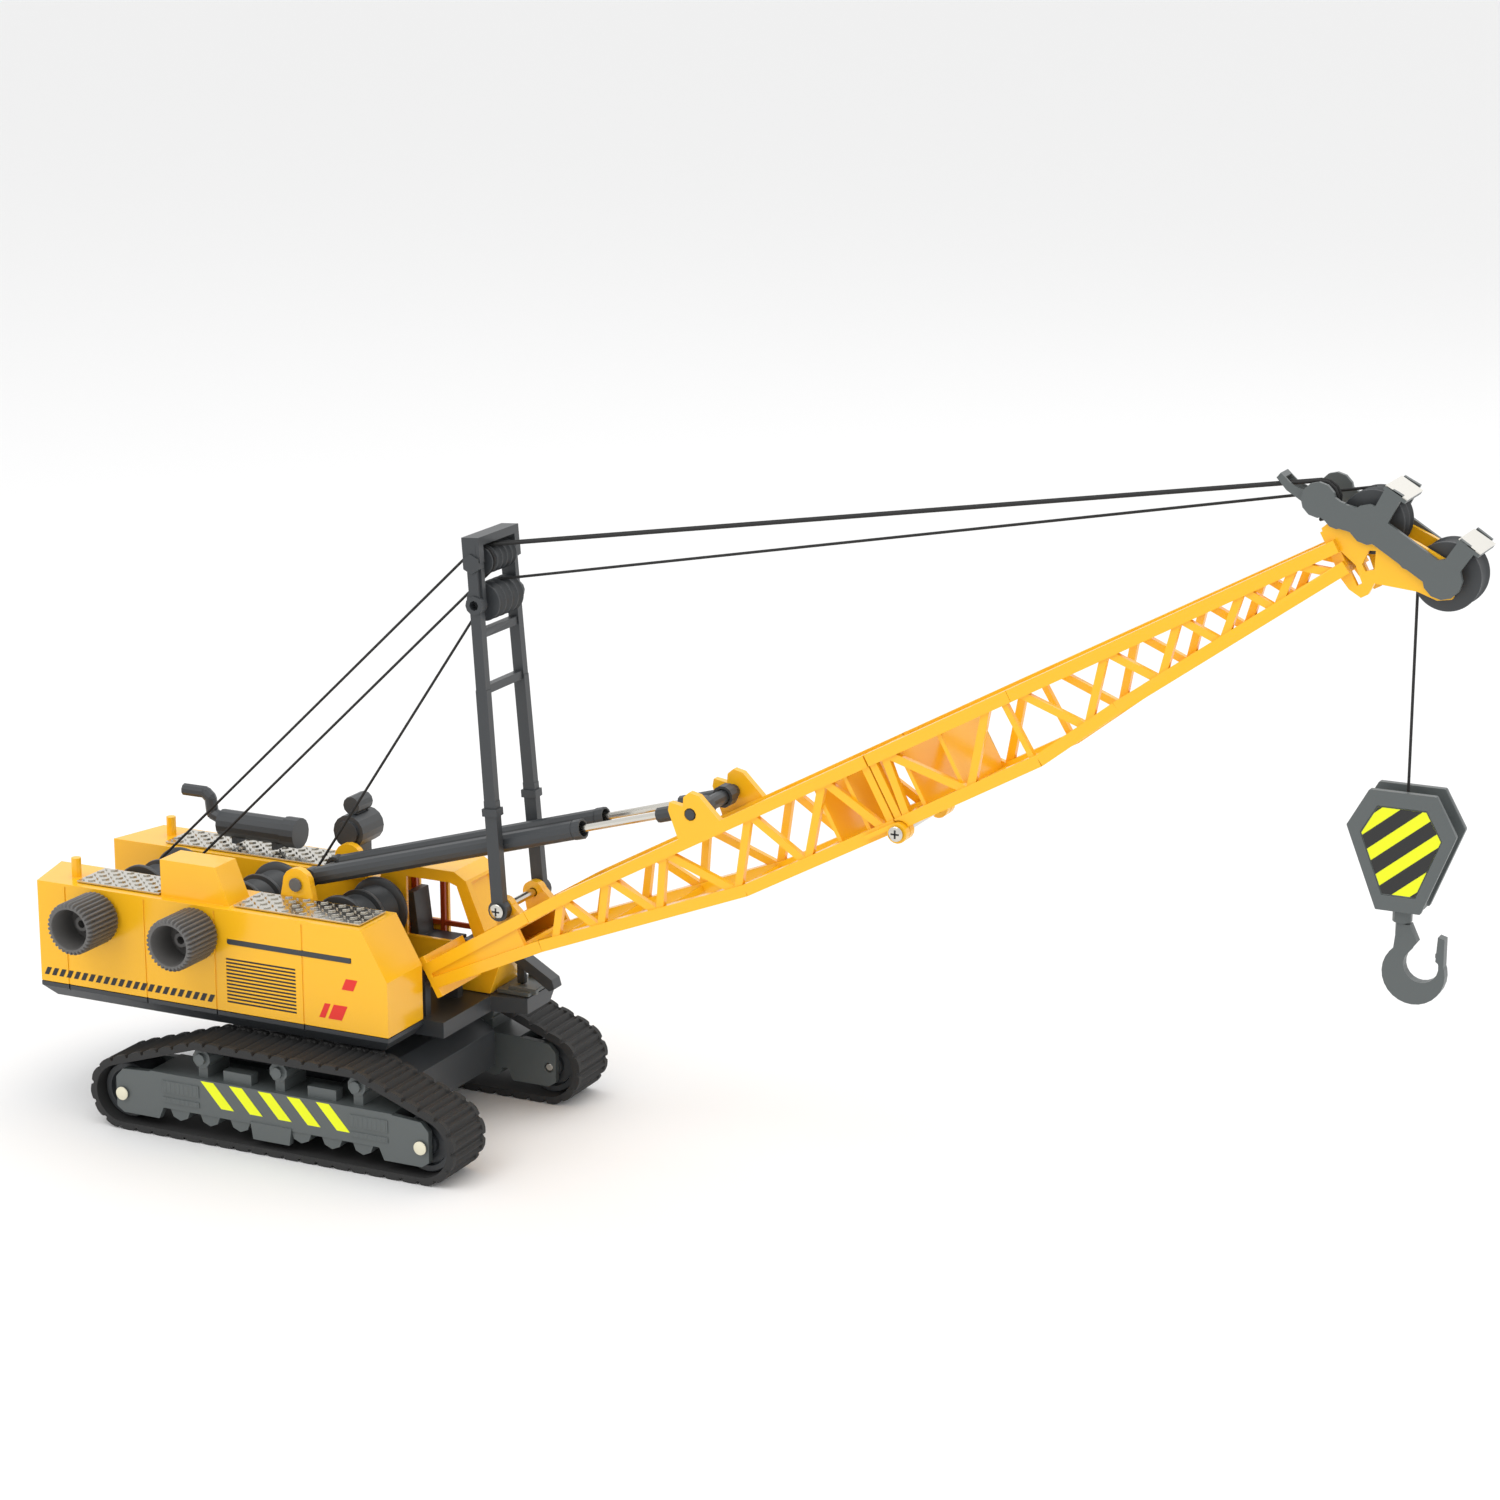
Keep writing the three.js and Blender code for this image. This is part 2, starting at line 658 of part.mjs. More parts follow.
// ---------------------------------------------------------------- winches
function knob(x) {
  const inner = houseHalfWidth + 0.8;
  const outline = [];
  for (let i = 0; i < knobRibs; i += 1) {
    for (const [share, radius] of [[0, knobRadius - 0.7], [0.3, knobRadius], [0.7, knobRadius]]) {
      const turn = ((i + share) / knobRibs) * 2 * Math.PI;
      outline.push([x + radius * Math.cos(turn), winchHeight + radius * Math.sin(turn)]);
    }
  }
  const body = plateXZ(outline, -knobFace, -inner);
  const cup = barY(knobRadius - 2.6, -knobFace - 1, -knobFace + 12, x, winchHeight, 18);
  const boss = cut(barY(3.4, -knobFace + 4, -inner - 2, x, winchHeight, 12),
    [barY(1.6, -knobFace + 3, -knobFace + 8, x, winchHeight, 8)]);
  const bore = barY(shaftRadius + gap, -inner - 3, -inner + 1, x, winchHeight, 12);
  return cut(join([cut(body, [cup]), boss]), [bore]);
}

function drum(x, shaftStart) {
  const profile = [
    [0, shaftStart], [shaftRadius, shaftStart], [shaftRadius, -13.8], [drumRadius, -13.8],
    [drumRadius, -12], [woundRadius, -12], [woundRadius, -0.9], [drumRadius - 1, -0.9],
    [drumRadius - 1, 0.9], [woundRadius, 0.9], [woundRadius, 12], [drumRadius, 12],
    [drumRadius, 13.8], [shaftRadius, 13.8], [shaftRadius, 16], [0, 16],
  ];
  return turnedY(profile, x, winchHeight, 14);
}

// ---------------------------------------------------------------- boom
function chordY(x) {
  const wide = boomHalfWidth - chordSize / 2;
  if (x < flareEnd) {
    const foot = footHalfWidth - chordSize / 2;
    return foot + ((wide - foot) * (x - 8)) / (flareEnd - 8);
  }
  if (x < narrowStart) return wide;
  const tip = tipHalfWidth - chordSize / 2;
  return wide + ((tip - wide) * (x - narrowStart)) / (latticeEnd - narrowStart);
}

const lowerBottomLine = [[8, -2.8], [60, -6.2], [146, -17.4], [foldX - gap, -17.7]];
const lowerTopLine = [[8, 2.8], [75, topChordHeight], [foldX - gap, topChordHeight]];
const upperBottomLine = [[foldX + gap, -17.7], [narrowStart, -17.3], [300, -12], [latticeEnd, -1.2]];
const upperTopLine = [[foldX + gap, topChordHeight], [latticeEnd, topChordHeight]];

function heightOn(line, x) {
  for (let i = 1; i < line.length; i += 1) {
    const [ax, az] = line[i - 1];
    const [bx, bz] = line[i];
    if (x <= bx || i === line.length - 1) return az + ((bz - az) * (x - ax)) / (bx - ax);
  }
  return 0;
}

// square chord tube following a line of [x, z], on one side of the boom
function chord(line, side) {
  const first = line[0][0];
  const bend = first < flareEnd ? flareEnd : narrowStart;
  const xs = [...new Set([...line.map(([x]) => x), bend])].sort((a, b) => a - b);
  const parts = [];
  for (let i = 1; i < xs.length; i += 1) {
    const a = [xs[i - 1], side * chordY(xs[i - 1]), heightOn(line, xs[i - 1])];
    const b = [xs[i], side * chordY(xs[i]), heightOn(line, xs[i])];
    parts.push(strut(a, b, chordSize, chordSize));
  }
  return parts;
}

// zigzag web on one side: [x, true] sits on the top chord, [x, false] on the bottom chord
function web(nodes, topLine, bottomLine, side, width) {
  const at = ([x, top]) => [x, side * (chordY(x) + 0.3), heightOn(top ? topLine : bottomLine, x)];
  const parts = [];
  for (let i = 1; i < nodes.length; i += 1) {
    parts.push(strut(at(nodes[i - 1]), at(nodes[i]), width, 2.2));
  }
  return parts;
}

function crossBar(x, z, size = 2.2) {
  const y = chordY(x);
  return box(x - size / 2, x + size / 2, -y, y, z - size / 2, z + size / 2);
}

function bulkhead(x, topLine, bottomLine) {
  const y = chordY(x);
  return box(x - 0.7, x + 0.7, -y, y, heightOn(bottomLine, x), heightOn(topLine, x));
}

function endRing(x0, x1, topLine, bottomLine) {
  const x = (x0 + x1) / 2;
  const low = heightOn(bottomLine, x);
  const high = heightOn(topLine, x);
  const y = chordY(x);
  return [
    ...bothSides((side) => {
      const [y0, y1] = spanY(side, y - 1.2, y + 1.4);
      return box(x0, x1, y0, y1, low, high);
    }),
    box(x0, x1, -y, y, high - 1.3, high + 1.3),
    box(x0, x1, -y, y, low - 1.1, low + 1.1),
  ];
}

const lowerWeb = [[65.9, false], [75.7, true], [85.3, false], [96.6, true], [110.2, false],
  [122.3, true], [142.5, false], [159.7, true], [172.3, false], [191.5, true], [205, false]];
const upperWeb = [[214.5, false], [217, true], [240, false], [259, true]];
const upperTipWeb = [[271, true], [288, false], [304.6, true], [317.5, false], [331.9, true],
  [341.7, false], [355, true], [362.5, false], [374, true], [385, false]];

function foldKnuckle(side, inner, outer, toX) {
  const [y0, y1] = spanY(side, inner, outer);
  const low = -foldDrop;
  const reach = toX < foldX ? [toX, foldX] : [foldX, toX];
  return join([
    barY(foldBoss, y0, y1, foldX, low, 16),
    plateXZ([[reach[0], low + 2], [reach[1], low + 2], [reach[1], low + 3.6],
      [reach[0], low + 3.6]], y0, y1),
  ]);
}

function footGirder() {
  const end = 53;
  const plates = bothSides((side) => {
    const pieces = [];
    for (const [x0, x1] of [[8, 30], [30, end]]) {
      const at = (x) => [x, side * (chordY(x) + 0.2), 0];
      const tall = heightOn(lowerTopLine, x1) - heightOn(lowerBottomLine, x1);
      pieces.push(strut(at(x0), at(x1), tall, 1.8));
    }
    return join(pieces);
  });
  const outline = (z0, z1) => plateXY([[8, -12], [end, -15.2], [end, 15.2], [8, 12]], z0, z1);
  const flange = box(6.9, 9.2, -footHalfWidth, footHalfWidth, -8.4, 7.6);
  const tongue = join([box(0, 8, -9.3, 9.3, -4, 4), barY(4, -9.3, 9.3, 0, 0, 24)]);
  return [...plates, outline(2.2, 3.6), outline(-4.2, -2.8), flange, tongue];
}

function mastEar(side) {
  const [x, z] = mastFoot;
  const [y0, y1] = spanY(side, 9.2, 12.6);
  const foot = [[x - 7, 2.6], [x + 7, 2.6], [x + 4, z], [x - 4, z]];
  return join([barY(4.2, y0, y1, x, z, 20), plateXZ(foot, y0, y1)]);
}

// open-topped cradle on the boom for the cylinder rods' cross pin
function rodEar(side) {
  const [x, z] = rodPin;
  const [y0, y1] = spanY(side, 15.6, 18.5);
  const outline = [[x - 9, topChordHeight], [x + 10, topChordHeight], [x + 6.2, z + 4.5],
    [x + 3.4, z + 7], [x + 0.6, z + 6.4], [x - 1.2, z + 3.6], [x - 5.4, z + 6.8], [x - 7.2, z + 4.6]];
  return plateXZ(outline, y0, y1);
}

function boomLower() {
  const parts = [...footGirder()];
  for (const side of [-1, 1]) {
    parts.push(...chord(lowerBottomLine, side), ...chord(lowerTopLine, side));
    parts.push(...web(lowerWeb, lowerTopLine, lowerBottomLine, side, 2.8));
    parts.push(mastEar(side), rodEar(side));
    parts.push(foldKnuckle(side, 17.6, 20.6, foldX - 12));
  }
  for (const x of [75.7, 96.6, 122.3, 159.7]) parts.push(crossBar(x, topChordHeight));
  for (const x of [65.9, 85.3, 110.2, 142.5, 172.3]) {
    parts.push(crossBar(x, heightOn(lowerBottomLine, x)));
  }
  parts.push(bulkhead(187, lowerTopLine, lowerBottomLine));
  parts.push(bulkhead(199, lowerTopLine, lowerBottomLine));
  parts.push(...endRing(foldX - 3, foldX - gap, lowerTopLine, lowerBottomLine));
  const [mx, mz] = mastFoot;
  const [rx, rz] = rodPin;
  return cut(join(parts), [
    barY(2.2 + runFit, -12, 12, 0, 0),
    barY(1.5 + runFit, -20, 20, mx, mz, 10),
    barY(2 + runFit, -20, 20, rx, rz, 10),
    barY(foldPinRadius + runFit, -24, 24, foldX, -foldDrop, 10),
    ...bothSides((side) => {
      const [y0, y1] = spanY(side, 13.6, 17.6);
      return barY(foldBoss + 0.4, y0, y1, foldX, -foldDrop, 16);
    }),
  ]);
}

function headYellow(side) {
  const [y0, y1] = spanY(side, 6.2, 8);
  const outline = [[385, -3], [386, -8], [388.4, -12], [391, -12], [394.5, -9.6], [406, -17.4],
    [410.5, -22.4], [415, -24], [420, -20], [420, -14], [413, -4], [405, 6], [396, 13.5], [391, 14],
    [386.5, 13], [386, 9]];
  const windows = [[[389, -8], [390.8, -8], [391.5, -2], [389, 4]],
    [[393.5, -5], [396.5, -5.6], [399.5, -0.5], [397.5, 0.5], [393.5, -2.5]]];
  return plateXZ(outline, y0, y1, windows);
}

function boomUpper() {
  const parts = [];
  for (const side of [-1, 1]) {
    parts.push(...chord(upperBottomLine, side), ...chord(upperTopLine, side));
    parts.push(...web(upperWeb, upperTopLine, upperBottomLine, side, 2.8));
    parts.push(...web([[265, true], [266, false]], upperTopLine, upperBottomLine, side, 2));
    parts.push(...web(upperTipWeb, upperTopLine, upperBottomLine, side, 2.6));
    parts.push(foldKnuckle(side, 14, 17.2, foldX + 12));
    parts.push(headYellow(side));
  }
  for (const x of [259, 271, 304.6, 331.9, 355, 374]) parts.push(crossBar(x, topChordHeight));
  for (const x of [240, 266, 288, 317.5, 341.7, 362.5]) {
    parts.push(crossBar(x, heightOn(upperBottomLine, x)));
  }
  parts.push(bulkhead(222, upperTopLine, upperBottomLine));
  parts.push(bulkhead(238, upperTopLine, upperBottomLine));
  parts.push(...endRing(foldX + gap, foldX + 3, upperTopLine, upperBottomLine));
  parts.push(box(385.5, 389, -8, 8, -3, 12));
  parts.push(box(399, 401, -8, 8, -12.5, -8));
  const shafts = [rearLobe, midLobe, tipLobe].map(([x, z]) => barY(1.6 + gap, -12, 12, x, z, 10));
  return cut(join(parts), [
    ...shafts,
    barY(foldPinRadius + runFit, -24, 24, foldX, -foldDrop, 10),
    ...bothSides((side) => {
      const [y0, y1] = spanY(side, 17.2, 21);
      return barY(foldBoss + 0.4, y0, y1, foldX, -foldDrop, 16);
    }),
  ]);
}

function foldPin() {
  const heads = bothSides((side) => {
    const [y0, y1] = spanY(side, 20.9, 21.8);
    return barY(2.6, y0, y1, foldX, -foldDrop, 12);
  });
  return join([barY(foldPinRadius, -21.2, 21.2, foldX, -foldDrop, 10), ...heads]);
}

function crossPin(radius, endRadius, wide, end, [x, z]) {
  const middle = barY(radius, -wide, wide, x, z, 12);
  return join([middle, barY(endRadius, -end, end, x, z, 10)]);
}

// ---------------------------------------------------------------- boom head
function headPlate(side) {
  const [y0, y1] = spanY(side, headPlateFace - headPlateThickness, headPlateFace);
  const lobes = [[rearLobe, 5.7], [guideLobe, 4.5], [midLobe, 6.4], [lowLobe, 4.3], [tipLobe, 6.4]];
  const discs = lobes.map(([[x, z], radius]) => barY(radius, y0, y1, x, z, 12));
  const mid = (headPlateFace * 2 - headPlateThickness) / 2;
  const beam = (a, b, width) => {
    return strut([a[0], side * mid, a[1]], [b[0], side * mid, b[1]], width, headPlateThickness);
  };
  const uprightA = [414.2, 14.1];
  const uprightB = [428, -10.4];
  const beams = [beam(rearLobe, guideLobe, 8), beam(guideLobe, midLobe, 8),
    beam(midLobe, tipLobe, 8.4), beam([402.5, 6], uprightA, 6), beam(tipLobe, uprightB, 6)];
  const flanged = side < 0 ? [uprightA, uprightB] : [];
  const flanges = flanged.map(([x, z]) => {
    return plateXZ([[x - 3.2, z + 2.1], [x + 1, z - 4.9], [x + 2, z - 4.3], [x - 2.2, z + 2.7]],
      y0, headPlateFace - 3);
  });
  const carried = side < 0 ? [rearLobe, midLobe, tipLobe] : [midLobe, tipLobe];
  const stubs = carried.map(([x, z]) => {
    const [s0, s1] = spanY(side, gap, headPlateFace - 0.5);
    return barY(1.6, s0, s1, x, z, 10);
  });
  return join([...discs, ...beams, ...flanges, ...stubs]);
}

function sheave(radius, groove, half, grooves, [x, z], bore, y0 = 0) {
  const flange = grooves > 1 ? 0.6 : 0.8;
  const slope = 0.25;
  const pitch = (2 * half - flange) / grooves;
  const profile = [[0, -half]];
  for (let i = 0; i < grooves; i += 1) {
    const y = -half + i * pitch;
    profile.push([radius, y], [radius, y + flange], [groove, y + flange + slope],
      [groove, y + pitch - slope]);
  }
  profile.push([radius, half - flange], [radius, half], [0, half]);
  const turnedDisc = cut(turnedY(profile, x, z, 14), [barY(bore, -half - 1, half + 1, x, z, 10)]);
  return turnedDisc.translate([0, y0, 0]);
}

// ---------------------------------------------------------------- mast
function mastY(t) {
  const foot = mastFootFace - mastLegThickness / 2;
  const top = mastTopFace - mastLegThickness / 2;
  return foot + ((top - foot) * t) / mastHeight;
}

function mastFrame() {
  const parts = [];
  for (const side of [-1, 1]) {
    const at = (t) => [0, side * mastY(t), t];
    const width = (t) => 5 - (1.2 * t) / mastHeight;
    for (const [t0, t1] of [[0, 40], [40, 80], [80, mastHeight - 1]]) {
      parts.push(strut(at(t0), at(t1), width((t0 + t1) / 2), mastLegThickness));
    }
    const boss = (t, radius, extra, sides) => {
      const [y0, y1] = spanY(side, mastY(t) - mastLegThickness / 2, mastY(t) + mastLegThickness / 2
        + extra);
      return barY(radius, y0, y1, 0, t, sides);
    };
    parts.push(boss(0, 3.9, 0, 16), boss(bigSheaveHeight, 3.4, 0.6, 12));
    parts.push(boss(smallSheaveHeight, 3.6, 0.6, 6));
    const [c0, c1] = spanY(side, mastY(36) - 2.4, mastY(36) + 2.4);
    parts.push(box(-3, 3, c0, c1, 34.6, 37.4));
    const inner = [0, side * (mastY(bigSheaveHeight) - 1), bigSheaveHeight];
    const reach = [0, side * (mastY(smallSheaveHeight) - 1), smallSheaveHeight];
    parts.push(strut(inner, reach, 5.6, 2.2));
  }
  const rung = (t) => box(-1.5, 1.5, -mastY(t), mastY(t), t - 1.5, t + 1.5);
  parts.push(rung(80), rung(100));
  const top = mastHeight;
  const half = mastTopFace;
  parts.push(box(-3.4, 3.4, -half, half, top - 3, top));
  for (const side of [-1, 1]) {
    const [y0, y1] = spanY(side, half - 3.2, half);
    parts.push(box(-3.4, 3.4, y0, y1, top - 9, top - 1));
  }
  return cut(join(parts), [
    barY(1.5 + runFit, -20, 20, 0, 0, 10),
    barY(1.8, -20, -12, 0, bigSheaveHeight, 8),
  ]);
}

function mastPin() {
  const heads = bothSides((side) => {
    const [y0, y1] = spanY(side, mastFootFace + gap, mastFootFace + 1.1);
    return barY(2.6, y0, y1, ...mastFoot, 12);
  });
  return join([barY(1.5, -16.8, 16.8, ...mastFoot, 10), ...heads]);
}

// ---------------------------------------------------------------- luffing cylinders
function barrel(side) {
  const y = side * cylinderY;
  const along = (x0, x1, radius, sides) => roundStrut([x0, y, 0], [x1, y, 0], radius, sides);
  const [e0, e1] = spanY(side, cylinderY - 2.4, cylinderY + 2.4);
  return cut(join([
    along(3, barrelLength, barrelRadius, 12),
    along(barrelLength - 3.4, barrelLength, barrelRadius + 0.25, 12),
    barY(3.6, e0, e1, 0, 0, 12),
  ]), [
    along(58, barrelLength + 1, barrelBore, 12),
    barY(1.8 + runFit, y - 4, y + 4, 0, 0, 10),
  ]);
}

function rod(side, length) {
  const y = side * cylinderY;
  const tail = -(length - barrelLength + rodInside);
  return roundStrut([tail, y, 0], [-rodEndLength + 2, y, 0], rodRadius, 10);
}

function rodEnd(side) {
  const y = side * cylinderY;
  const start = -(rodEndLength + 4);
  const body = roundStrut([start, y, 0], [-3, y, 0], 2.7, 10);
  const eye = barY(4, y - 2.4, y + 2.4, 0, 0, 12);
  return cut(join([body, eye]), [
    barY(2.6 + runFit, y - 4, y + 4, 0, 0, 12),
    roundStrut([start - 1, y, 0], [-rodEndLength + 2 + gap, y, 0], rodRadius + gap, 10),
  ]);
}

// ---------------------------------------------------------------- hook
function blockOutline(scale, x, top) {
  const half = [10.9, 18, 7.4];
  const levels = [0, 12.6, blockHeight];
  const middle = blockHeight / 2;
  const at = (i, sign) => [
    x + sign * half[i] * scale,
    top - middle - (levels[i] - middle) * scale,
  ];
  return [at(2, -1), at(2, 1), at(1, 1), at(0, 1), at(0, -1), at(1, -1)];
}

function blockPlate(side, x) {
  const [y0, y1] = spanY(side, blockHalfDepth - 2.2, blockHalfDepth);
  const plate = plateXZ(blockOutline(1, x, blockTop), y0, y1);
  const panelDepth = 0.5;
  const [p0, p1] = spanY(side, blockHalfDepth - panelDepth, blockHalfDepth + 1);
  const panel = plateXZ(blockOutline(0.74, x, blockTop), p0, p1);
  const [w0, w1] = spanY(side, 0.25, blockHalfDepth - 2);
  const foot = box(x - 7, x + 7, w0, w1, blockTop - blockHeight, blockTop - blockHeight + 7);
  const bore = barZ(2.5, blockTop - blockHeight - 1, blockTop - blockHeight + 8, x, 0, 10);
  const hub = barY(1.8, w0, w1, x, blockTop - 14, 10);
  const ropeSlot = box(x - 1.6, x + 1.6, -1.6, 1.6, blockTop - 2, blockTop + 1);
  return cut(join([cut(plate, [panel]), foot, hub]), [bore, ropeSlot]);
}

function hookPiece(x) {
  const shankTop = blockTop - blockHeight + 6;
  const half = 1.9;
  const outer = barY(10.4, -half, half, x + 4.8, 112, 28);
  const eye = barY(5.8, -half - 1, half + 1, x + 7.2, 115, 22);
  const mouth = box(x + 3.5, x + 11.8, -half - 1, half + 1, 115, 126);
  const tip = plateXZ([[x + 11.9, 117], [x + 14.6, 115], [x + 14.6, 124.6], [x + 12.4, 125.2]],
    -half, half);
  const neck = plateXZ([[x - 2.4, 117], [x + 1.6, 117], [x + 5.6, 122.5], [x + 3, 128], [x - 1.2, 128]],
    -half, half);
  const shank = barZ(2.1, 124, shankTop - 2, x, 0, 10);
  const collar = barZ(3.2, 128.6, 132.6, x, 0, 10);
  return join([cut(outer, [eye, mouth]), tip, neck, shank, collar]);
}

// ---------------------------------------------------------------- assembly
const DEG = THREE.MathUtils.degToRad(boomAngle);

// a point of the boom frame, in crane coordinates
function fromBoom([x, z], y = 0) {
  return [
    footPin[0] + x * Math.cos(DEG) - z * Math.sin(DEG),
    y,
    footPin[1] + x * Math.sin(DEG) + z * Math.cos(DEG),
  ];
}

function onMast(t, forward, y) {
  const [x, , z] = fromBoom(mastFoot);
  const lean = THREE.MathUtils.degToRad(mastLean);
  return [
    x + t * Math.cos(lean) + forward * Math.sin(lean),
    y,
    z + t * Math.sin(lean) - forward * Math.cos(lean),
  ];
}

function undercarriage(root) {
  addPiece(root, "chassis", chassis(), black);
  for (const [side, name] of [[-1, "right"], [1, "left"]]) {
    addPiece(root, `track_frame_${name}`, trackFrame(side), trackGrey);
    addPiece(root, `belt_${name}`, belt(side), rubber);
    for (const [end, place] of [[1, "front"], [-1, "rear"]]) {
      addPiece(root, `wheel_${place}_${name}`, wheel(side, end), black);
      addPiece(root, `axle_${place}_${name}`, axle(side, end), steel);
    }
  }
}

function house(root) {
  addPiece(root, "deck", deck(), black);
  addPiece(root, "housing_right", housingRight(), yellow);
  addPiece(root, "housing_left", housingLeft(), yellow);
  addPiece(root, "tread_right_rear", treadPlate(-94, -57.5, -37.5, -19.6), steel);
  addPiece(root, "tread_right_front", treadPlate(-25, 28.5, -37.5, -19.6), steel);
  addPiece(root, "tread_left", treadPlate(-94, -20, 19.6, 37.5), steel);
  addPiece(root, "muffler", muffler(), black);
  addPiece(root, "air_cleaner", airCleaner(), black);
  addPiece(root, "cab", cab(), yellow);
  addPiece(root, "seat", seat(), black);
  addPiece(root, "walkway", walkway(), trackGrey);
  addPiece(root, "bumper_arm", bumperArm(), black);
  addPiece(root, "cylinder_pin", cylinderCrossPin(), knobGrey);
  addPiece(root, "boom_foot_pin", barY(2.2, -13.4, 13.4, ...footPin, 10), steel);
}

function winches(root) {
  const shaftStart = -(houseHalfWidth + 3.4);
  for (const [i, name] of [[0, "rear"], [1, "front"]]) {
    addPiece(root, `knob_${name}`, knob(knobX[i]), knobGrey);
    addPiece(root, `drum_${name}`, drum(knobX[i], shaftStart), black);
  }
  addPiece(root, "drum_idle", drum(drumX, -16), black);
}

function boom(root) {
  const lower = turned(footPin[0], footPin[1], boomAngle);
  addPiece(lower, "boom_lower", boomLower(), yellow);
  addPiece(lower, "rod_pin", crossPin(2.6, 2, 15.3, 19, rodPin), black);
  addPiece(lower, "fold_pin", foldPin(), steel);
  addPiece(lower, "mast_pin", mastPin(), steel);
  addPiece(lower, "boom_upper", boomUpper(), yellow);
  addPiece(lower, "head_plate_right", headPlate(-1), trackGrey);
  addPiece(lower, "head_plate_left", headPlate(1), trackGrey);
  addPiece(lower, "sheave_rear", sheave(rearSheaveRadius, 4.1, 2.9, 2, rearLobe, 1.9, rearSheaveY), black);
  addPiece(lower, "sheave_mid", sheave(midSheaveRadius, 9, 5, 2, midLobe, 1.9), black);
  addPiece(lower, "sheave_tip", sheave(tipSheaveRadius, 9.6, 5, 1, tipLobe, 1.9), black);
  const mast = turned(mastFoot[0], mastFoot[1], mastLean - 90 - boomAngle);
  addPiece(mast, "mast", mastFrame(), black);
  const bigAxis = [0, bigSheaveHeight];
  const smallAxis = [0, smallSheaveHeight];
  addPiece(mast, "mast_sheave_large", sheave(6.8, 5.4, 8.6, 4, bigAxis, 1.5), black);
  addPiece(mast, "mast_sheave_small", sheave(5.3, 3.8, 8.6, 5, smallAxis, 1.5), black);
  lower.add(mast);
  root.add(lower);
}

function cylinders(root) {
  const [fx, , fz] = fromBoom(rodPin);
  const length = Math.hypot(fx - cylinderPin[0], fz - cylinderPin[1]);
  const rise = Math.atan2(fz - cylinderPin[1], fx - cylinderPin[0]);
  const degrees = THREE.MathUtils.radToDeg(rise);
  const tail = turned(cylinderPin[0], cylinderPin[1], degrees);
  const nose = turned(fx, fz, degrees);
  for (const [side, name] of [[-1, "right"], [1, "left"]]) {
    addPiece(tail, `barrel_${name}`, barrel(side), black);
    addPiece(nose, `rod_${name}`, rod(side, length), steel);
    addPiece(nose, `rod_end_${name}`, rodEnd(side), black);
  }
  root.add(tail, nose);
}

function hook(root) {
  const [tipX, , tipZ] = fromBoom(tipLobe);
  const x = tipX - 9.6 - gap - ropeRadius;
  addPiece(root, "block_right", blockPlate(-1, x), trackGrey);
  addPiece(root, "block_left", blockPlate(1, x), trackGrey);
  const wheelAxis = [x, blockTop - 14];
  addPiece(root, "block_sheave", sheave(8.6, 7.2, 3, 1, wheelAxis, 2.1), black);
  addPiece(root, "hook", hookPiece(x), trackGrey);
  addPiece(root, "rope_hook", straightRope([x, 0, tipZ], [x, 0, blockTop - 5], ropeRadius), rope);
}

// middle of one groove of a sheave, from its middle
function grooveY(half, grooves, index) {
  const flange = 0.6;
  const pitch = (2 * half - flange) / grooves;
  return -half + flange + (pitch - flange) / 2 + index * pitch;
}

// points round a sheave in the XZ plane, at angles in degrees
function roundSheave([x, z], radius, y, angles) {
  return angles.map((degrees) => {
    const turn = THREE.MathUtils.degToRad(degrees);
    return [x + radius * Math.cos(turn), y, z + radius * Math.sin(turn)];
  });
}

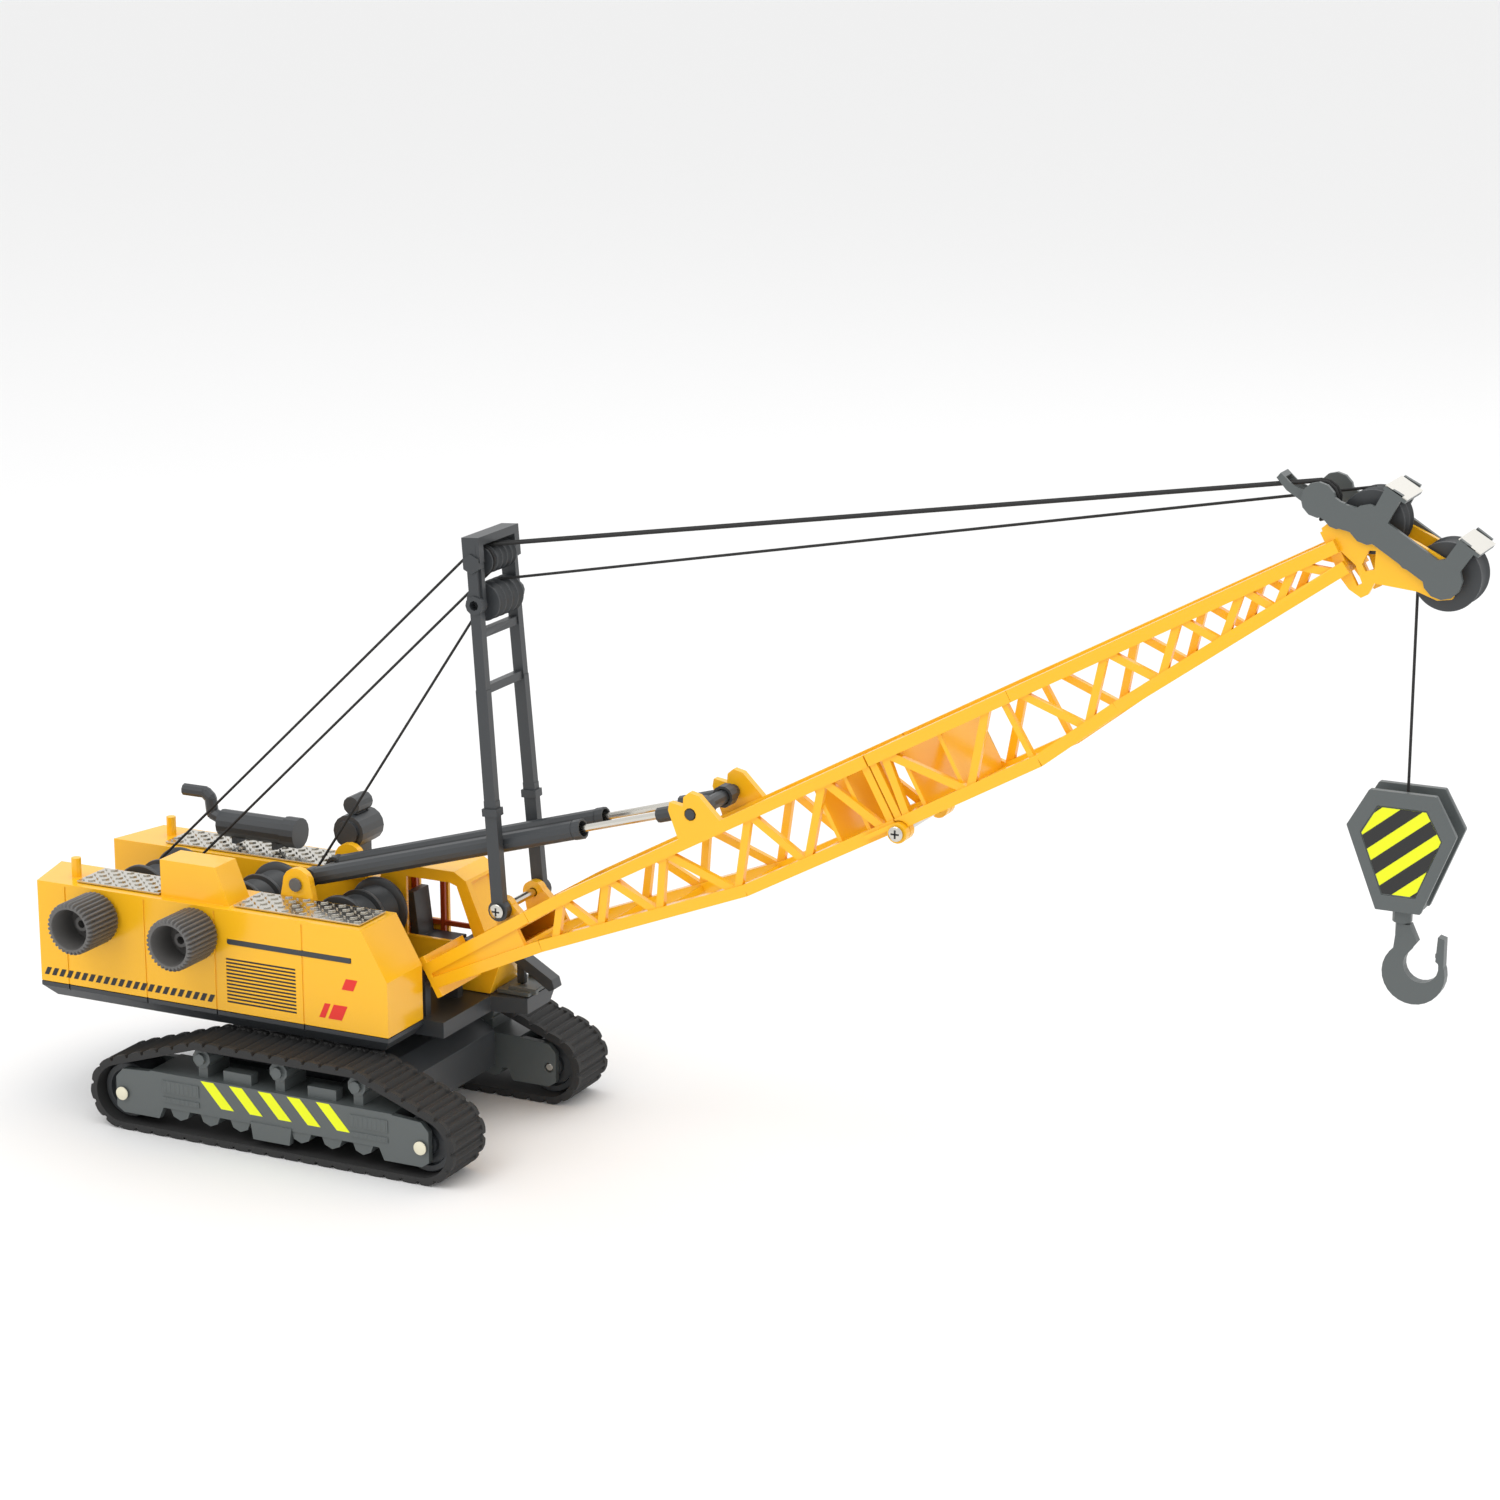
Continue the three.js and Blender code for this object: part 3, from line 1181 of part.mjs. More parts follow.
function ropes(root) {
  const mid = fromBoom(midLobe);
  const rear = fromBoom(rearLobe);
  const hoistFrom = onMast(bigSheaveHeight, 0, grooveY(8.6, 4, 2));
  hoistFrom[2] += 5.4 + gap + ropeRadius;
  const hoistTo = [mid[0] - 1.7, grooveY(5, 2, 1), mid[2] + 9 + gap + ropeRadius];
  addPiece(root, "rope_hoist", straightRope(hoistFrom, hoistTo, ropeRadius), rope);
  const comb = onMast(smallSheaveHeight, 0, 0);
  const over = comb[2] + 3.8 + gap + pendantRadius;
  const wrap = 4.1 + gap + pendantRadius + 0.5;
  const outside = rearSheaveRadius + gap + pendantRadius + 0.4;
  const rearAxis = [rear[0], rear[2]];
  const rightGroove = rearSheaveY + grooveY(2.9, 2, 0);
  const leftGroove = rearSheaveY + grooveY(2.9, 2, 1);
  const pendant = [
    [comb[0], grooveY(8.6, 5, 1), over],
    ...roundSheave(rearAxis, wrap, rightGroove, [100, 70, 40, 10, -20]),
    ...roundSheave(rearAxis, outside, rightGroove, [-60]),
    ...roundSheave(rearAxis, outside + 0.4, rearSheaveY, [-95]),
    ...roundSheave(rearAxis, outside, leftGroove, [-60]),
    ...roundSheave(rearAxis, wrap, leftGroove, [-20, 10, 40, 70, 100]),
    [comb[0], grooveY(8.6, 5, 2), over],
  ];
  addPiece(root, "rope_pendant", ropeAlong(pendant, pendantRadius), rope);
  const combY = grooveY(8.6, 5, 0);
  const combWrap = 3.8 + gap + ropeRadius + 0.3;
  const onDrum = woundRadius + gap + ropeRadius;
  const rearDrum = [knobX[0], winchHeight];
  const luffing = [
    ...roundSheave(rearDrum, onDrum, 8, [126]),
    ...roundSheave([comb[0], comb[2]], combWrap, combY, [132, 105, 75, 45, 15, -15, -40]),
    ...roundSheave(rearDrum, onDrum, 5, [40]),
  ];
  addPiece(root, "rope_luffing", ropeAlong(luffing, ropeRadius), rope);
  const frontTop = onMast(bigSheaveHeight, -5.4 - ropeRadius - gap, grooveY(8.6, 4, 3));
  const [frontFoot] = roundSheave([knobX[1], winchHeight], onDrum + 0.4, 4, [-34]);
  addPiece(root, "rope_front", straightRope(frontFoot, frontTop, ropeRadius), rope);
}

function build() {
  const crane = new THREE.Group();
  undercarriage(crane);
  house(crane);
  winches(crane);
  boom(crane);
  cylinders(crane);
  hook(crane);
  ropes(crane);
  crane.updateMatrixWorld(true);
  const bounds = new THREE.Box3().setFromObject(crane, true);
  const centre = bounds.getCenter(new THREE.Vector3());
  crane.position.set(-centre.x, -centre.y, -bounds.min.z);
  crane.updateMatrixWorld(true);
  const part = new THREE.Group();
  part.add(crane);
  return part;
}

export default build();
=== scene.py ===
"""Looks of a toy lattice-boom crawler crane, laid out as a Blender add-on.

Lengths are in millimetres.
"""
import json
import math

import bmesh
import bpy
import numpy as np
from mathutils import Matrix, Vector


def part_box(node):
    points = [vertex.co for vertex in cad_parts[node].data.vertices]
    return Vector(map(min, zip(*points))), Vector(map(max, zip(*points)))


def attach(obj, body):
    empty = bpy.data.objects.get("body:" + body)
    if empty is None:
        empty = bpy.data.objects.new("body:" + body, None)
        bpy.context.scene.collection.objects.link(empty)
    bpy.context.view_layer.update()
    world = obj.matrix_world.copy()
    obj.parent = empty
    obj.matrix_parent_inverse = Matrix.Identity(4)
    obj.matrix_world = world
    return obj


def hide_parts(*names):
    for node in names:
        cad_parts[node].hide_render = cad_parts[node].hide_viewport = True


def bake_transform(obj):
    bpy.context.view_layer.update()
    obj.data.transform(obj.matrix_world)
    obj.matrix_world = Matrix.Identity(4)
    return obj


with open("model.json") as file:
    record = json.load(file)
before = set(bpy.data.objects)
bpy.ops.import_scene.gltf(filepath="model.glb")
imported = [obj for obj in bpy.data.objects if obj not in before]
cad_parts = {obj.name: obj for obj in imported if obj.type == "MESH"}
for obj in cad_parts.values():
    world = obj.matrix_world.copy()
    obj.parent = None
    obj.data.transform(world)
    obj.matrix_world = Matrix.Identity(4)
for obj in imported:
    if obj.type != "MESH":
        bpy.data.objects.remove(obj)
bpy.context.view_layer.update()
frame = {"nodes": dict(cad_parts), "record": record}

bl_info = {
    "name": "Toy crawler crane",
    "version": (1, 0, 0),
    "blender": (4, 5, 0),
    "location": "View3D > Sidebar > Crane",
    "description": "Dresses the crane with rounded parts, markings, materials and a studio",
    "category": "Object",
}

MM = 0.001
BOOM_ANGLE = math.radians(28.8)
SMALL_LIFT = 0.12  # how far a printed mark stands off its face

# camera at the product shot's angle
CAMERA_AT = (569.85, -1132.55, 496.6)
CAMERA_TO = (13.15, 1.25, 157.7)
CAMERA_LENS = 91.08


def mid(node):
    """Middle of a CAD node, and half its size, in millimetres."""
    low, high = (np.array(corner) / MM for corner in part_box(node))
    return (low + high) / 2, (high - low) / 2


def low_high(node):
    low, high = (np.array(corner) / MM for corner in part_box(node))
    return low, high


FOOT, _ = mid("boom_foot_pin")


def from_boom(along, across, y=0.0):
    """A point given along and square to the resting boom, from its foot pin."""
    x = FOOT[0] + along * math.cos(BOOM_ANGLE) - across * math.sin(BOOM_ANGLE)
    z = FOOT[2] + along * math.sin(BOOM_ANGLE) + across * math.cos(BOOM_ANGLE)
    return np.array((x, FOOT[1] + y, z))


# ------------------------------------------------------------------ settings
class CraneSizes(bpy.types.PropertyGroup):
    """Sizes of the dressing pieces."""

    cleats: bpy.props.IntProperty(
        name="Belt plates", description="Plates on one belt", default=48, min=20)
    cleat_height: bpy.props.FloatProperty(
        name="Cleat height", description="Height of a cleat in mm", default=1.0, min=0.1)
    knob_ribs: bpy.props.IntProperty(
        name="Knob ribs", description="Grip ribs round a winding knob", default=34, min=8)
    edge_round: bpy.props.FloatProperty(
        name="Edge rounding", description="Rounding of moulded edges in mm", default=0.35, min=0.0)
    stripe_count: bpy.props.IntProperty(
        name="Track stripes", description="Bright stripes on a track frame", default=5, min=1)


class CraneColours(bpy.types.PropertyGroup):
    """Base colours of the materials."""

    yellow: bpy.props.FloatVectorProperty(
        name="Yellow", description="Boom, housings and cab", subtype="COLOR", size=3,
        default=(0.72, 0.235, 0.001))
    grey: bpy.props.FloatVectorProperty(
        name="Grey", description="Track frames and deck", subtype="COLOR", size=3,
        default=(0.033, 0.038, 0.04))
    black: bpy.props.FloatVectorProperty(
        name="Black", description="Mast, cylinders and sheaves", subtype="COLOR", size=3,
        default=(0.008, 0.009, 0.0095))
    bright: bpy.props.FloatVectorProperty(
        name="Bright stripes", description="Stripes on tracks and hook block", subtype="COLOR",
        size=3, default=(0.80, 0.86, 0.0))


# ------------------------------------------------------------------ materials
def moulding_group():
    """Node group: faint mottling of roughness and a fine skin texture for moulded plastic."""
    group = bpy.data.node_groups.new("Moulding", "ShaderNodeTree")
    face = group.interface
    face.new_socket("Base Roughness", in_out="INPUT", socket_type="NodeSocketFloat")
    face.new_socket("Variation", in_out="INPUT", socket_type="NodeSocketFloat")
    face.new_socket("Grain Scale", in_out="INPUT", socket_type="NodeSocketFloat")
    face.new_socket("Roughness", in_out="OUTPUT", socket_type="NodeSocketFloat")
    face.new_socket("Height", in_out="OUTPUT", socket_type="NodeSocketFloat")
    nodes, links = group.nodes, group.links
    given, result = nodes.new("NodeGroupInput"), nodes.new("NodeGroupOutput")
    where = nodes.new("ShaderNodeTexCoord")
    broad, fine = nodes.new("ShaderNodeTexNoise"), nodes.new("ShaderNodeTexNoise")
    broad.inputs["Scale"].default_value = 60.0
    links.new(where.outputs["Object"], broad.inputs["Vector"])
    links.new(where.outputs["Object"], fine.inputs["Vector"])
    links.new(given.outputs["Grain Scale"], fine.inputs["Scale"])
    centred, scaled, total = (nodes.new("ShaderNodeMath") for _ in range(3))
    centred.operation, scaled.operation, total.operation = "SUBTRACT", "MULTIPLY", "ADD"
    centred.inputs[1].default_value = 0.5
    links.new(broad.outputs["Fac"], centred.inputs[0])
    links.new(centred.outputs[0], scaled.inputs[0])
    links.new(given.outputs["Variation"], scaled.inputs[1])
    links.new(scaled.outputs[0], total.inputs[0])
    links.new(given.outputs["Base Roughness"], total.inputs[1])
    links.new(total.outputs[0], result.inputs["Roughness"])
    links.new(fine.outputs["Fac"], result.inputs["Height"])
    return group


def material(name, colour, roughness, grain=0.0, scale=900.0, variation=0.12, **sockets):
    """A Principled material whose roughness and bump come from the shared moulding group."""
    made = bpy.data.materials.new(name)
    made.use_nodes = True
    nodes, links = made.node_tree.nodes, made.node_tree.links
    shader = nodes["Principled BSDF"]
    shader.inputs["Base Color"].default_value = (*colour, 1.0)
    for socket, value in sockets.items():
        shader.inputs[socket.replace("_", " ")].default_value = value
    skin = nodes.new("ShaderNodeGroup")
    skin.node_tree = bpy.data.node_groups["Moulding"]
    skin.inputs["Base Roughness"].default_value = roughness
    skin.inputs["Variation"].default_value = variation
    skin.inputs["Grain Scale"].default_value = scale
    links.new(skin.outputs["Roughness"], shader.inputs["Roughness"])
    if grain:
        bump = nodes.new("ShaderNodeBump")
        bump.inputs["Strength"].default_value = grain
        bump.inputs["Distance"].default_value = 0.0001
        links.new(skin.outputs["Height"], bump.inputs["Height"])
        links.new(bump.outputs["Normal"], shader.inputs["Normal"])
    return made


def make_materials(colours):
    """One material for each slot of the record, and those of the printed marks."""
    moulding_group()
    material("yellow_plastic", colours.yellow, 0.26, 0.10, 300.0, Coat_Weight=0.1,
             Coat_Roughness=0.08, Specular_IOR_Level=0.3)
    material("grey_plastic", colours.grey, 0.38, 0.25, 1500.0, Specular_IOR_Level=0.25)
    material("knob_plastic", (0.05, 0.048, 0.044), 0.48, 0.25, 1500.0, Specular_IOR_Level=0.2)
    material("black_plastic", colours.black, 0.24, 0.15, 900.0, Specular_IOR_Level=0.25)
    material("rubber", (0.006, 0.006, 0.006), 0.4, 0.35, 1800.0, Specular_IOR_Level=0.2)
    material("rope_fibre", (0.016, 0.017, 0.017), 0.85, 0.6, 4000.0)
    material("bright_metal", (0.78, 0.78, 0.77), 0.18, 0.0, Metallic=1.0)
    material("stripe_bright", colours.bright, 0.4)
    material("mark_black", (0.012, 0.012, 0.012), 0.4)
    material("mark_red", (0.75, 0.02, 0.01), 0.4)
    material("pin_cream", (0.72, 0.68, 0.52), 0.35)
    # dark orange-brown painted shade for the inside of the yellow cab
    material("cab_painted_shade", (0.42, 0.06, 0.006), 0.45)


# ------------------------------------------------------------------ mesh tools
def add_mesh(name, points, faces, paint, body, smooth=True, stands_for=()):
    """Makes a piece from points in millimetres and faces, and puts it on its body, if any."""
    data = bpy.data.meshes.new(name)
    data.from_pydata((np.asarray(points) * MM).tolist(), [], [list(map(int, f)) for f in faces])
    work = bmesh.new()
    work.from_mesh(data)
    bmesh.ops.remove_doubles(work, verts=work.verts, dist=1e-7)
    bmesh.ops.recalc_face_normals(work, faces=work.faces)
    work.to_mesh(data)
    work.free()
    if smooth:
        data.shade_smooth()
        data.set_sharp_from_angle(angle=math.radians(35))
    piece = bpy.data.objects.new(name, data)
    bpy.context.scene.collection.objects.link(piece)
    data.materials.append(bpy.data.materials[paint])
    if body:
        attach(piece, body)
    for node in stands_for:
        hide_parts(node)
    return piece


def round_edges(piece, width, angle=40.0):
    """Rounds the sharp edges of a piece by a width in millimetres."""
    bevel = piece.modifiers.new("Round", "BEVEL")
    bevel.width = width * MM
    bevel.segments = 2
    bevel.limit_method = "ANGLE"
    bevel.angle_limit = math.radians(angle)
    bevel.harden_normals = True
    return bevel


def grid_faces(rows, columns, wrap_rows=False, wrap_columns=True):
    """Quads between neighbouring rows and columns of a grid of points."""
    row = np.arange(rows if wrap_rows else rows - 1)
    column = np.arange(columns if wrap_columns else columns - 1)
    i, j = np.meshgrid(row, column, indexing="ij")
    ni, nj = (i + 1) % rows, (j + 1) % columns
    at = lambda a, b: (a * columns + b).ravel()
    return np.stack([at(i, j), at(i, nj), at(ni, nj), at(ni, j)], axis=1)


def turned(profile, centre, sides=72, ribs=0, depth=0.0, ribbed=()):
    """Surface of revolution about Y. Profile points are (radius, y) and close on themselves.

    Rows named in ribbed are drawn in by depth * (1 + cos(ribs * angle)) / 2.
    """
    profile = np.array(profile, float)
    angle = np.linspace(0, 2 * np.pi, sides, endpoint=False)
    radius = np.repeat(profile[:, :1], sides, axis=1)
    if ribs:
        wave = depth * (0.5 + 0.5 * np.cos(ribs * angle)) ** 1.5
        for row in ribbed:
            radius[row] -= wave
    x = centre[0] + radius * np.cos(angle)
    z = centre[2] + radius * np.sin(angle)
    y = np.repeat(profile[:, 1:], sides, axis=1)
    points = np.stack([x, y, z], axis=2).reshape(-1, 3)
    return points, grid_faces(len(profile), sides, wrap_rows=True)


def combine(parts):
    """Joins (points, faces) pairs into one pair."""
    points, faces, start = [], [], 0
    for some, quads in parts:
        points.append(np.asarray(some, float))
        faces.extend([[int(k) + start for k in quad] for quad in quads])
        start += len(some)
    return np.concatenate(points), faces


def slab(corners, normal, thickness):
    """A flat many-sided plate: its outline, raised along a normal."""
    outline = np.array(corners, float)
    count = len(outline)
    lifted = outline + np.array(normal, float) * thickness
    faces = [list(range(count))[::-1], list(range(count, 2 * count))]
    for k in range(count):
        nxt = (k + 1) % count
        faces.append([k, nxt, count + nxt, count + k])
    return np.concatenate([outline, lifted]), faces


def block(x0, x1, y0, y1, z0, z1):
    corners = [(x0, y0, z0), (x1, y0, z0), (x1, y1, z0), (x0, y1, z0)]
    return slab(corners, (0, 0, 1), z1 - z0)


def disc(centre, radius, y0, y1, sides=32):
    """A short round bar along Y."""
    angle = np.linspace(0, 2 * np.pi, sides, endpoint=False)
    ring = np.stack([centre[0] + radius * np.cos(angle), np.full(sides, y0),
                     centre[2] + radius * np.sin(angle)], axis=1)
    return slab(ring, (0, 1, 0), y1 - y0)


def tube(path, radius, sides=12):
    """A round tube whose rings stand square to a path of points."""
    path = np.array(path, float)
    along = np.gradient(path, axis=0)
    along /= np.linalg.norm(along, axis=1)[:, None]
    side = np.cross(along, (0.0, 1.0, 0.0))
    side /= np.maximum(np.linalg.norm(side, axis=1)[:, None], 1e-9)
    up = np.cross(side, along)
    angle = np.linspace(0, 2 * np.pi, sides, endpoint=False)
    ring = (np.cos(angle)[None, :, None] * side[:, None, :]
            + np.sin(angle)[None, :, None] * up[:, None, :])
    points = (path[:, None, :] + radius * ring).reshape(-1, 3)
    faces = grid_faces(len(path), sides).tolist()
    last = (len(path) - 1) * sides
    faces += [list(range(sides)), [last + k for k in range(sides)][::-1]]
    return points, faces


# ------------------------------------------------------------------ pieces
TURNING = {
    "sheave_rear": (4.1, 2), "sheave_mid": (9.0, 2), "sheave_tip": (9.6, 1),
    "mast_sheave_large": (5.4, 4), "mast_sheave_small": (3.8, 5), "block_sheave": (7.2, 1),
}


def body_of_node(node):
    for body, nodes in frame["record"]["behaviour"]["bodies"].items():
        if node in nodes:
            return body
    raise ValueError("no body holds " + node)


def sheave_profile(centre, half, groove, grooves, bore):
    """Grooves between thin flanges: the radius dips as a half sine wave across each groove."""
    radius, wide = half[0] * 1.004, half[1]
    y0 = centre[1] - wide
    pitch = 2 * wide / grooves
    flange = 0.35 if grooves > 1 else 0.6
    points = [(bore, y0)]
    for k in range(grooves):
        start = y0 + k * pitch
        points += [(radius - 0.2, start), (radius, start + 0.15), (radius, start + flange)]
        for share in np.linspace(0.08, 0.92, 9):
            dip = math.sin(math.pi * share) ** 0.55
            y = start + flange + share * (pitch - 2 * flange)
            points.append((radius - (radius - groove) * dip, y))
        points += [(radius, start + pitch - flange)]
    points += [(radius, y0 + 2 * wide - 0.15), (radius - 0.2, y0 + 2 * wide), (bore, y0 + 2 * wide)]
    return points


class CRANE_OT_paint(bpy.types.Operator):
    """Gives every CAD node its material and rounds its moulded edges."""

    bl_idname = "crane.paint"
    bl_label = "Paint the moulded parts"

    def execute(self, context):
        make_materials(context.scene.crane_colours)
        width = context.scene.crane_sizes.edge_round
        for entry in frame["record"]["subparts"]:
            node = frame["nodes"][entry["node"]]
            node.data.materials.clear()
            node.data.materials.append(bpy.data.materials[entry["material_slot"]])
            weld = node.modifiers.new("Weld", "WELD")
            weld.merge_threshold = 1e-6
            if entry["node"].startswith(("rope", "tread")):
                continue
            fine = 0.6 if entry["node"].startswith(("boom_", "mast", "head")) else 1.0
            round_edges(node, width * fine)
        return {"FINISHED"}


class CRANE_OT_turning(bpy.types.Operator):
    """Makes the sheaves, winch drums, track wheels and winding knobs as turned pieces."""

    bl_idname = "crane.turning"
    bl_label = "Turned pieces"

    def execute(self, context):
        for node, (groove, grooves) in TURNING.items():
            centre, half = mid(node)
            profile = sheave_profile(centre, half, groove, grooves, 1.7)
            points, faces = turned(profile, centre)
            add_mesh(node + "_look", points, faces, "black_plastic", body_of_node(node),
                     stands_for=(node,))
        for node in ("drum_rear", "drum_front", "drum_idle"):
            self.make_drum(node)
        for node in ("knob_rear", "knob_front"):
            self.make_knob(node, context.scene.crane_sizes.knob_ribs)
        for end in ("front", "rear"):
            for side in ("right", "left"):
                self.make_wheel(f"wheel_{end}_{side}")
        return {"FINISHED"}

    def make_drum(self, node):
        """Two wide flanges, a middle flange, and coils of rope wound on the core."""
        low, high = low_high(node)
        centre, half = mid(node)
        middle = FOOT[1]
        radius, core, coil = half[2], 8.6, 1.1
        profile = [(0.0, low[1]), (2.8, low[1]), (2.8, middle - 13.8),
                   (radius - 0.4, middle - 13.8), (radius, middle - 13.4),
                   (radius, middle - 12.4), (radius - 0.4, middle - 12)]
        coils = [(core + 0.7 * abs(math.sin(math.pi * k / 4)), 1.1 + k * coil / 4)
                 for k in range(int(10.8 / coil * 4))]
        profile += [(r, middle - y) for r, y in reversed(coils)]
        profile += [(radius - 1.4, middle - 0.8), (radius - 1.2, middle),
                    (radius - 1.4, middle + 0.8)]
        profile += [(r, middle + y) for r, y in coils]
        profile += [(radius - 0.4, middle + 12), (radius, middle + 12.4),
                    (radius, middle + 13.4), (radius - 0.4, middle + 13.8), (2.8, middle + 13.8),
                    (2.8, high[1]), (0.0, high[1])]
        points, faces = turned(profile, centre)
        add_mesh(node + "_look", points, faces, "black_plastic", body_of_node(node),
                 stands_for=(node,))

    def make_knob(self, node, ribs):
        """A cup with a ribbed rim and a small hollow boss on its floor."""
        low, _ = low_high(node)
        centre, half = mid(node)
        face, back, radius = low[1], low[1] + 2 * half[1], half[2]
        wall = 2.2
        profile = [
            (3.1, back), (radius - 1.2, back), (radius - 0.3, back - 0.8), (radius, back - 1.6),
            (radius, face + 1.4), (radius - 0.25, face + 0.5), (radius - 0.8, face),
            (radius - wall, face + 0.1), (radius - wall - 0.3, face + 0.6),
            (radius - wall - 0.6, face + 12.6), (3.2, face + 12.7), (3.0, face + 8.4),
            (2.7, face + 8), (1.5, face + 8), (1.4, face + 11), (1.3, back),
        ]
        points, faces = turned(profile, centre, ribs * 6, ribs, 0.95, (2, 3, 4, 5, 6))
        add_mesh(node + "_look", points, faces, "knob_plastic", body_of_node(node),
                 stands_for=(node,))

    def make_wheel(self, node):
        """A dished wheel with a raised rim and hub."""
        centre, half = mid(node)
        radius, wide = half[2], half[1]
        y0, y1 = centre[1] - wide, centre[1] + wide
        profile = [
            (1.9, y0), (4, y0), (4.2, y0 + 1.6), (radius - 3, y0 + 1.8), (radius - 2.4, y0 + 0.2),
            (radius - 0.5, y0), (radius, y0 + 0.5), (radius, y1 - 0.5), (radius - 0.5, y1),
            (radius - 2.4, y1 - 0.2), (radius - 3, y1 - 1.8), (4.2, y1 - 1.6), (4, y1), (1.9, y1),
        ]
        points, faces = turned(profile, centre)
        add_mesh(node + "_look", points, faces, "black_plastic", body_of_node(node),
                 stands_for=(node,))


class CRANE_OT_belts(bpy.types.Operator):
    """Makes the rubber belts with their cleats."""

    bl_idname = "crane.belts"
    bl_label = "Belts"

    def execute(self, context):
        sizes = context.scene.crane_sizes
        for side in ("right", "left"):
            self.make_belt(side, sizes.cleats, sizes.cleat_height)
        return {"FINISHED"}

    def loop(self, cleats, rise, per_cleat=10):
        """Support points of the wheels and rollers: centre + radius * normal, evenly spaced."""
        wheel, _ = mid("wheel_front_right")
        rear, _ = mid("wheel_rear_right")
        thick = 2.0
        _, high = low_high("belt_right")
        rollers = high[2] - rise
        big, small = wheel[2] - rise, 6.2
        slew = (wheel[0] + rear[0]) / 2
        circles = [(rear[0], rear[2], big), (wheel[0], wheel[2], big),
                   (slew + 36, rollers - small, small), (slew - 30, rollers - small, small)]
        circles = np.array(circles)
        angle = np.linspace(0, 2 * np.pi, 1440, endpoint=False)
        normal = np.stack([np.cos(angle), np.sin(angle)], axis=1)
        reach = circles[:, :2] @ normal.T + circles[:, 2:]
        best = reach.argmax(axis=0)
        line = circles[best, :2] + circles[best, 2:] * normal
        step = np.linalg.norm(np.roll(line, -1, axis=0) - line, axis=1)
        gone = np.concatenate([[0], np.cumsum(step)])
        count = cleats * per_cleat
        wanted = np.arange(count) / count * gone[-1]
        closed = np.concatenate([line, line[:1]])
        at = np.stack([np.interp(wanted, gone, closed[:, k]) for k in (0, 1)], axis=1)
        ahead = np.roll(at, -2, axis=0) - np.roll(at, 2, axis=0)
        ahead /= np.linalg.norm(ahead, axis=1)[:, None]
        return at, np.stack([ahead[:, 1], -ahead[:, 0]], axis=1), thick

    def make_belt(self, side, cleats, rise):
        """A closed strip of plates: two thin ridges rise across each, and a slit parts them."""
        per = 16
        at, normal, thick = self.loop(cleats, rise, per)
        low, high = low_high("belt_" + side)
        y0, y1 = low[1], high[1]
        phase = (np.arange(len(at)) % per) / per
        near = np.minimum(np.abs(phase - 0.25), np.abs(phase - 0.62))
        slit = np.where((phase < 0.04) | (phase > 0.9), -0.5, 0.0)
        shape = rise * np.clip(1.0 - near / 0.13, 0, 1) ** 0.5 + slit
        edge = rise * np.clip(1.0 - np.abs(phase - 0.44) / 0.42, 0, 1) ** 0.2 + slit
        across = [
            (y0, -thick, 0), (y0, -0.4, 0), (y0 + 0.25, 0, 1), (y0 + 2.2, 0, 1), (y0 + 2.5, 0, 2),
            (y0 + 8, 0, 2), ((y0 + y1) / 2, 0, 2), (y1 - 8, 0, 2), (y1 - 2.5, 0, 2),
            (y1 - 2.2, 0, 1), (y1 - 0.25, 0, 1), (y1, -0.4, 0), (y1, -thick, 0),
            ((y0 + y1) / 2, -thick, 0),
        ]
        rows = []
        for y, height, kind in across:
            lift = height + (edge if kind == 1 else shape if kind == 2 else 0.0)
            place = at + normal * np.reshape(lift * np.ones(len(at)), (-1, 1))
            rows.append(np.stack([place[:, 0], np.full(len(at), y), place[:, 1]], axis=1))
        points = np.stack(rows, axis=1).reshape(-1, 3)
        faces = grid_faces(len(at), len(across), wrap_rows=True)
        add_mesh(f"belt_{side}_look", points, faces, "rubber", "undercarriage",
                 stands_for=("belt_" + side,))


